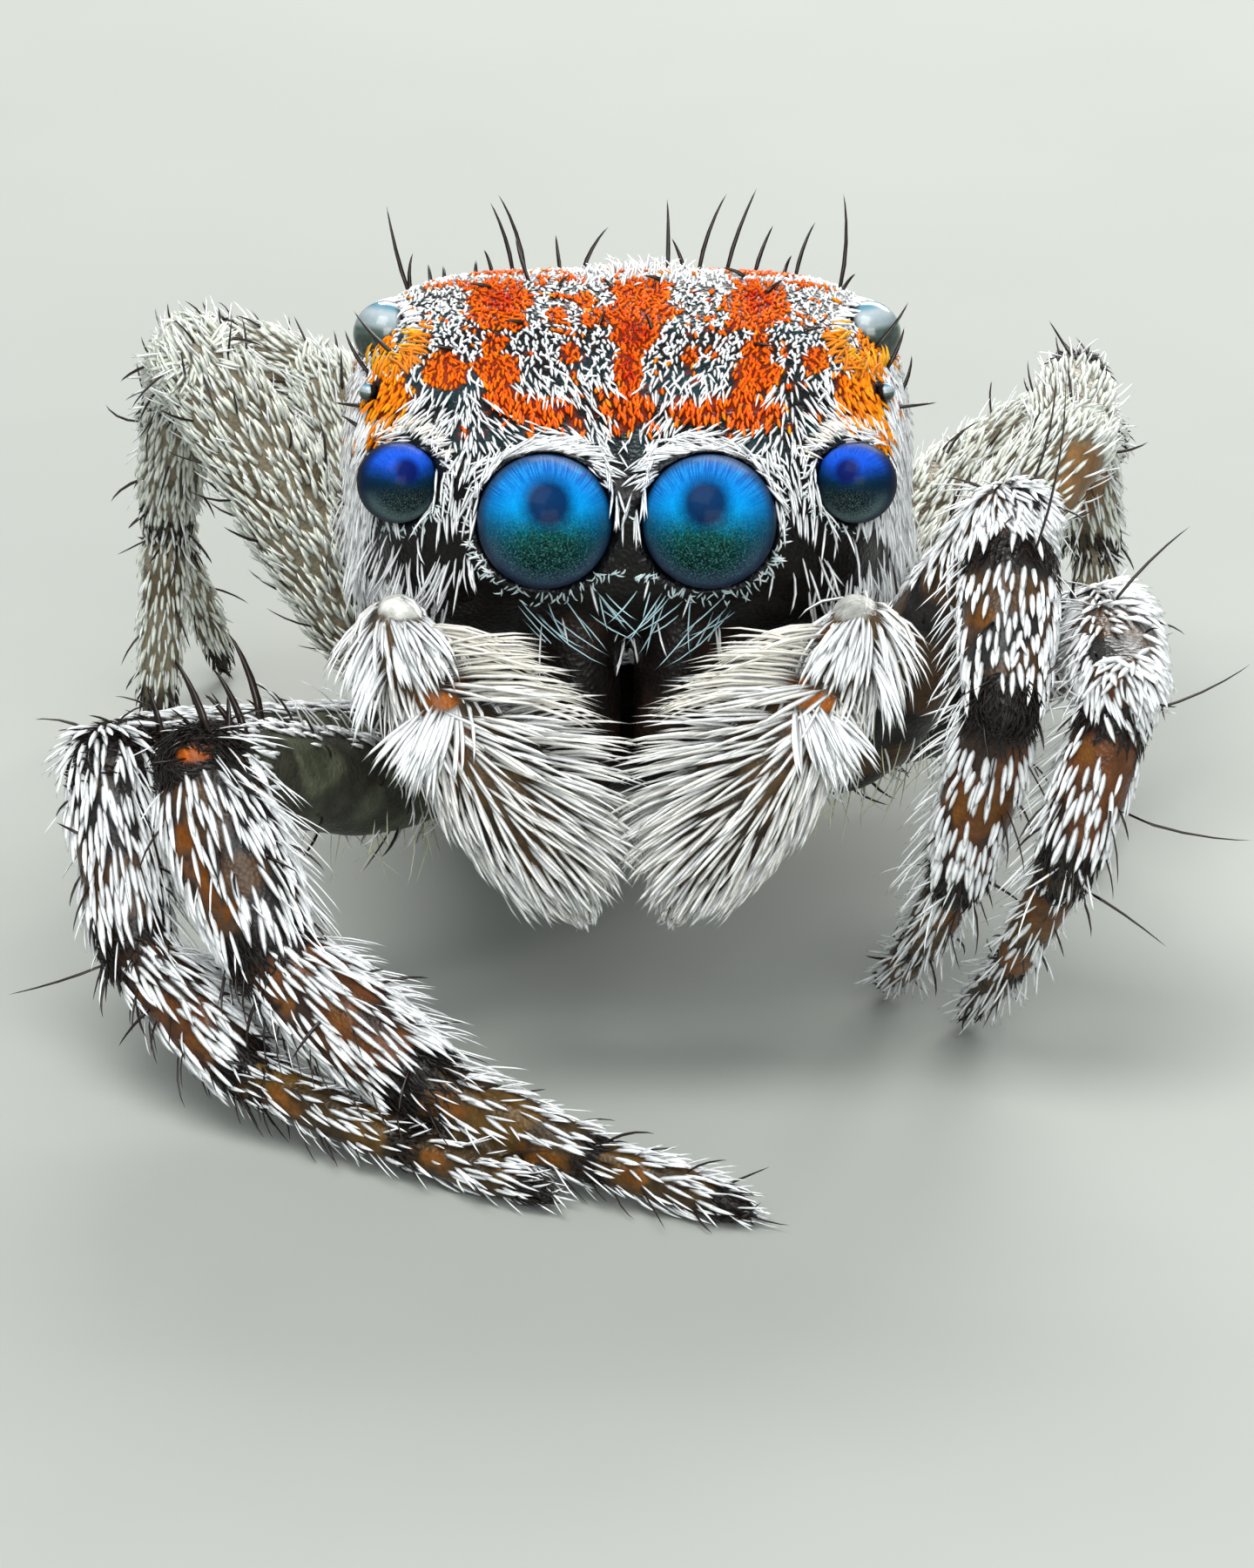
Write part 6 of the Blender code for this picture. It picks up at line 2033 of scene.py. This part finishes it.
def belly_colour(points, random):
    """The folded fan: red curves and bars on iridescent blue and green, a pale rim and white hair below."""
    x, y, z = points.T
    stations = np.array(ABDOMEN)
    half = np.interp(y, stations[:, 0], stations[:, 1])
    on = along_abdomen(y)
    tones = TONE_FIELD(points)
    out = np.abs(x) / half + 0.016 * tones + 0.012 * PATCH_FIELD(points)
    field = blend_hues(*FAN_GROUND, smooth(0.1, 0.6, out + 0.12 * tones))
    drawn = smooth(0.11, 0.06, np.abs(out - 0.36 - 0.12 * np.sin(2 * math.pi * on)))
    drawn = np.maximum(drawn, smooth(0.10, 0.05, out) * smooth(0.62, 0.52, on))
    for place in FAN_BARS:
        bar = smooth(0.035, 0.018, np.abs(on - place + 0.16 * out ** 2)) * smooth(0.62, 0.54, out)
        drawn = np.maximum(drawn, bar)
    red = blend_hues(*FAN_RED, random.uniform(0, 0.6, len(x)))
    colour = blend_hues(field, red, drawn * smooth(0.02, 0.08, on))
    colour = blend_hues(colour, FAN_RIM, smooth(0.055, 0.03, np.abs(out - 0.70)))
    colour = blend_hues(colour, FAN_BAND, smooth(0.74, 0.78, out))
    low = smooth(0.02, -0.10, z - np.interp(y, stations[:, 0], stations[:, 3]))
    colour = blend_hues(colour, CREAM * 0.85, np.maximum(low, smooth(0.80, 0.86, out)))
    return colour * random.uniform(0.7, 1.05, len(points))[:, None]


def coat_belly(surface, shell, materials):
    """Short scales over the fan, and long pale hair at the front, along the flanks and at the tip."""
    piece = CoatPiece("coat_abdomen", 2)
    roots = Roots(surface, shell, DENSITIES["fan"], 21, reach=0.09)
    length = 0.05 * roots.vary(0.8, 1.3)
    colour = belly_colour(roots.places, roots.random)
    lie = roots.strewn(roots.along, 0.15)
    piece.grow(roots, lie, length, (0.0155, 0.8, 1.2), (6, 18), 3, colour)
    roots = Roots(surface, shell, DENSITIES["abdomen"], 22, reach=0.09)
    on = along_abdomen(roots.places[:, 1])
    rim = np.maximum(smooth(0.16, 0.06, on), smooth(0.90, 0.96, on))
    rim = np.maximum(rim, smooth(0.35, 0.05, roots.normals[:, 2]))
    roots.keep(roots.vary(0, 1) < rim)
    lie = roots.strewn(roots.along + vec((0, 0, -0.25)), 0.2)
    piece.grow(roots, lie, (0.16, 0.6, 1.2), 0.0075, (18, 44), (0, 20), (CREAM, 0.8, 1.04), 1, rings=3,
               curl=(-0.3, 0.3))
    piece.build(materials["scale"], "back_coat")


# Stage.

# The soft lights: place, size, power and colour. All point at the spider's middle.
LIGHTS = {
    "top": ((-6, -12, 32), (20, 20), 0.0105, (1.0, 0.99, 0.97)),
    "back": ((6, 30, 16), (24, 14), 0.0120, (1.0, 0.99, 0.96)),
    "front": ((5, -32, 17), (20, 16), 0.0088, (0.98, 0.99, 1.0)),
}
LIT_MIDDLE = (0.0, 0.5, 1.2)
SKY = (0.80, 0.88, 1.0, 1)
SKY_POWER = 0.26


def aim(made, place, way):
    """Put a light or the camera at a place, looking a way."""
    made.location = to_frame(place)
    made.rotation_mode = "QUATERNION"
    made.rotation_quaternion = Vector(way).to_track_quat("-Z", "Y")


def area_light(name, place, size, power, colour):
    data = bpy.data.lights.new(name, "AREA")
    data.shape = "RECTANGLE"
    data.size, data.size_y = (s * MM for s in size)
    data.energy = power
    data.color = colour
    aim(placed(name, data), place, vec(LIT_MIDDLE) - vec(place))


def stage():
    bpy.ops.mesh.primitive_plane_add(size=2.0)
    floor = bpy.context.object
    floor.name = "floor"
    shader = Shader("pale_floor")
    tone = shader.noise(shader.place(MM), 0.4)
    colour = shader.mixed(tone, (0.34, 0.36, 0.33), (0.40, 0.42, 0.39))
    floor.data.materials.append(shader.finished(colour, 0.8, 0.5))
    bpy.context.scene.view_settings.view_transform = "Standard"
    world = bpy.data.worlds.new("studio")
    bpy.context.scene.world = world
    world.use_nodes = True
    background = world.node_tree.nodes["Background"]
    background.inputs[0].default_value = SKY
    background.inputs[1].default_value = SKY_POWER
    for name, light in LIGHTS.items():
        area_light(name, *light)


def camera():
    data = bpy.data.cameras.new("camera")
    data.sensor_width = SENSOR
    data.lens = VIEW_DISTANCE * SENSOR / VIEW_HEIGHT
    data.clip_start = 0.001
    data.clip_end = 10.0
    made = placed("camera", data)
    aim(made, AIM - AHEAD * VIEW_DISTANCE, AHEAD)
    bpy.context.scene.camera = made


def small_shapes():
    """Sternum, pedicel, mouth lobes, chelicerae and spinnerets, as flesh under the skin."""
    shapes = [Ball("sternum", *STERNUM), Limb("pedicel", PEDICEL[:2], (PEDICEL[2],) * 2, UP, 0.0)]
    top, bottom, fat = CHELICERA
    root, tip, thick = SPINNERET
    for side in SIDES.values():
        shapes.append(Ball("endite", mirrored(ENDITE[0], side), ENDITE[1]))
        path = [mirrored(top, side) * (1 - s) + mirrored(bottom, side) * s for s in (0, 0.3, 0.65, 0.9, 1)]
        shapes.append(Limb("chelicera", path, [fat * s for s in (0.9, 1.0, 0.95, 0.8, 0.6)], FRONT, 0.01))
        path = [mirrored(root, side), mirrored(tip, side)]
        shapes.append(Limb("spinneret", path, (thick, 0.7 * thick), UP, 0.005))
    path = (vec((0, root[1] - 0.05, root[2])), vec((0, tip[1] - 0.06, tip[2])))
    shapes.append(Limb("spinneret", path, (0.10, 0.07), UP, 0.008))
    return shapes


def build():
    materials = {
        "scale": coat_material("short_scales", 0.50, 0.0, 0.12),
        "hair": coat_material("silky_hair", 0.40, 0.08, 0.25),
        "bristle": bristle_material(),
    }
    shells = {
        "carapace": Shell("carapace", CARAPACE, CARAPACE_BOX, 0.012),
        "abdomen": Shell("abdomen", ABDOMEN, ABDOMEN_BOX, SKIN_DEPTH),
    }
    legs = {(word, number): leg_limbs(word, number) for word in SIDES for number in (1, 2, 3, 4)}
    palps = {word: palp_limbs(word) for word in SIDES}
    shapes = list(shells.values()) + small_shapes()
    for limbs in list(legs.values()) + list(palps.values()):
        shapes += limbs.values()
    surface = make_skin(shapes, shells)
    eyes()
    head = shells["carapace"]
    coat_face(surface, head, materials)
    coat_carapace(surface, head, materials)
    net = picture_net(head, (0, 0.6))
    face_hair(surface, head, net, materials)
    dark = CoatPiece("bristles_head")
    drawn_bristles(dark, surface, head, net, HEAD_BRISTLES, 0.0135, 31)
    dark.build(materials["bristle"], "dark_cuticle")
    leg_bristles(surface, legs, materials)
    coat_belly(surface, shells["abdomen"], materials)
    for (word, number), limbs in legs.items():
        coat_leg(surface, word, number, limbs, materials)
    for word, limbs in palps.items():
        coat_palp(surface, word, limbs, materials)


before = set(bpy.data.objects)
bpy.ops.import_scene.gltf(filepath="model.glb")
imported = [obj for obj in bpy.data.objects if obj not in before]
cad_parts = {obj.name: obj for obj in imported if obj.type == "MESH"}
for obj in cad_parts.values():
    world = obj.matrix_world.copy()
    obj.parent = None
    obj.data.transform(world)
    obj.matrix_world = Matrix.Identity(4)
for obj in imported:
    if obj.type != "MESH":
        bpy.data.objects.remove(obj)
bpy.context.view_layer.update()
camera()
stage()
build()
print("triangles", sum(counts.values()), counts)
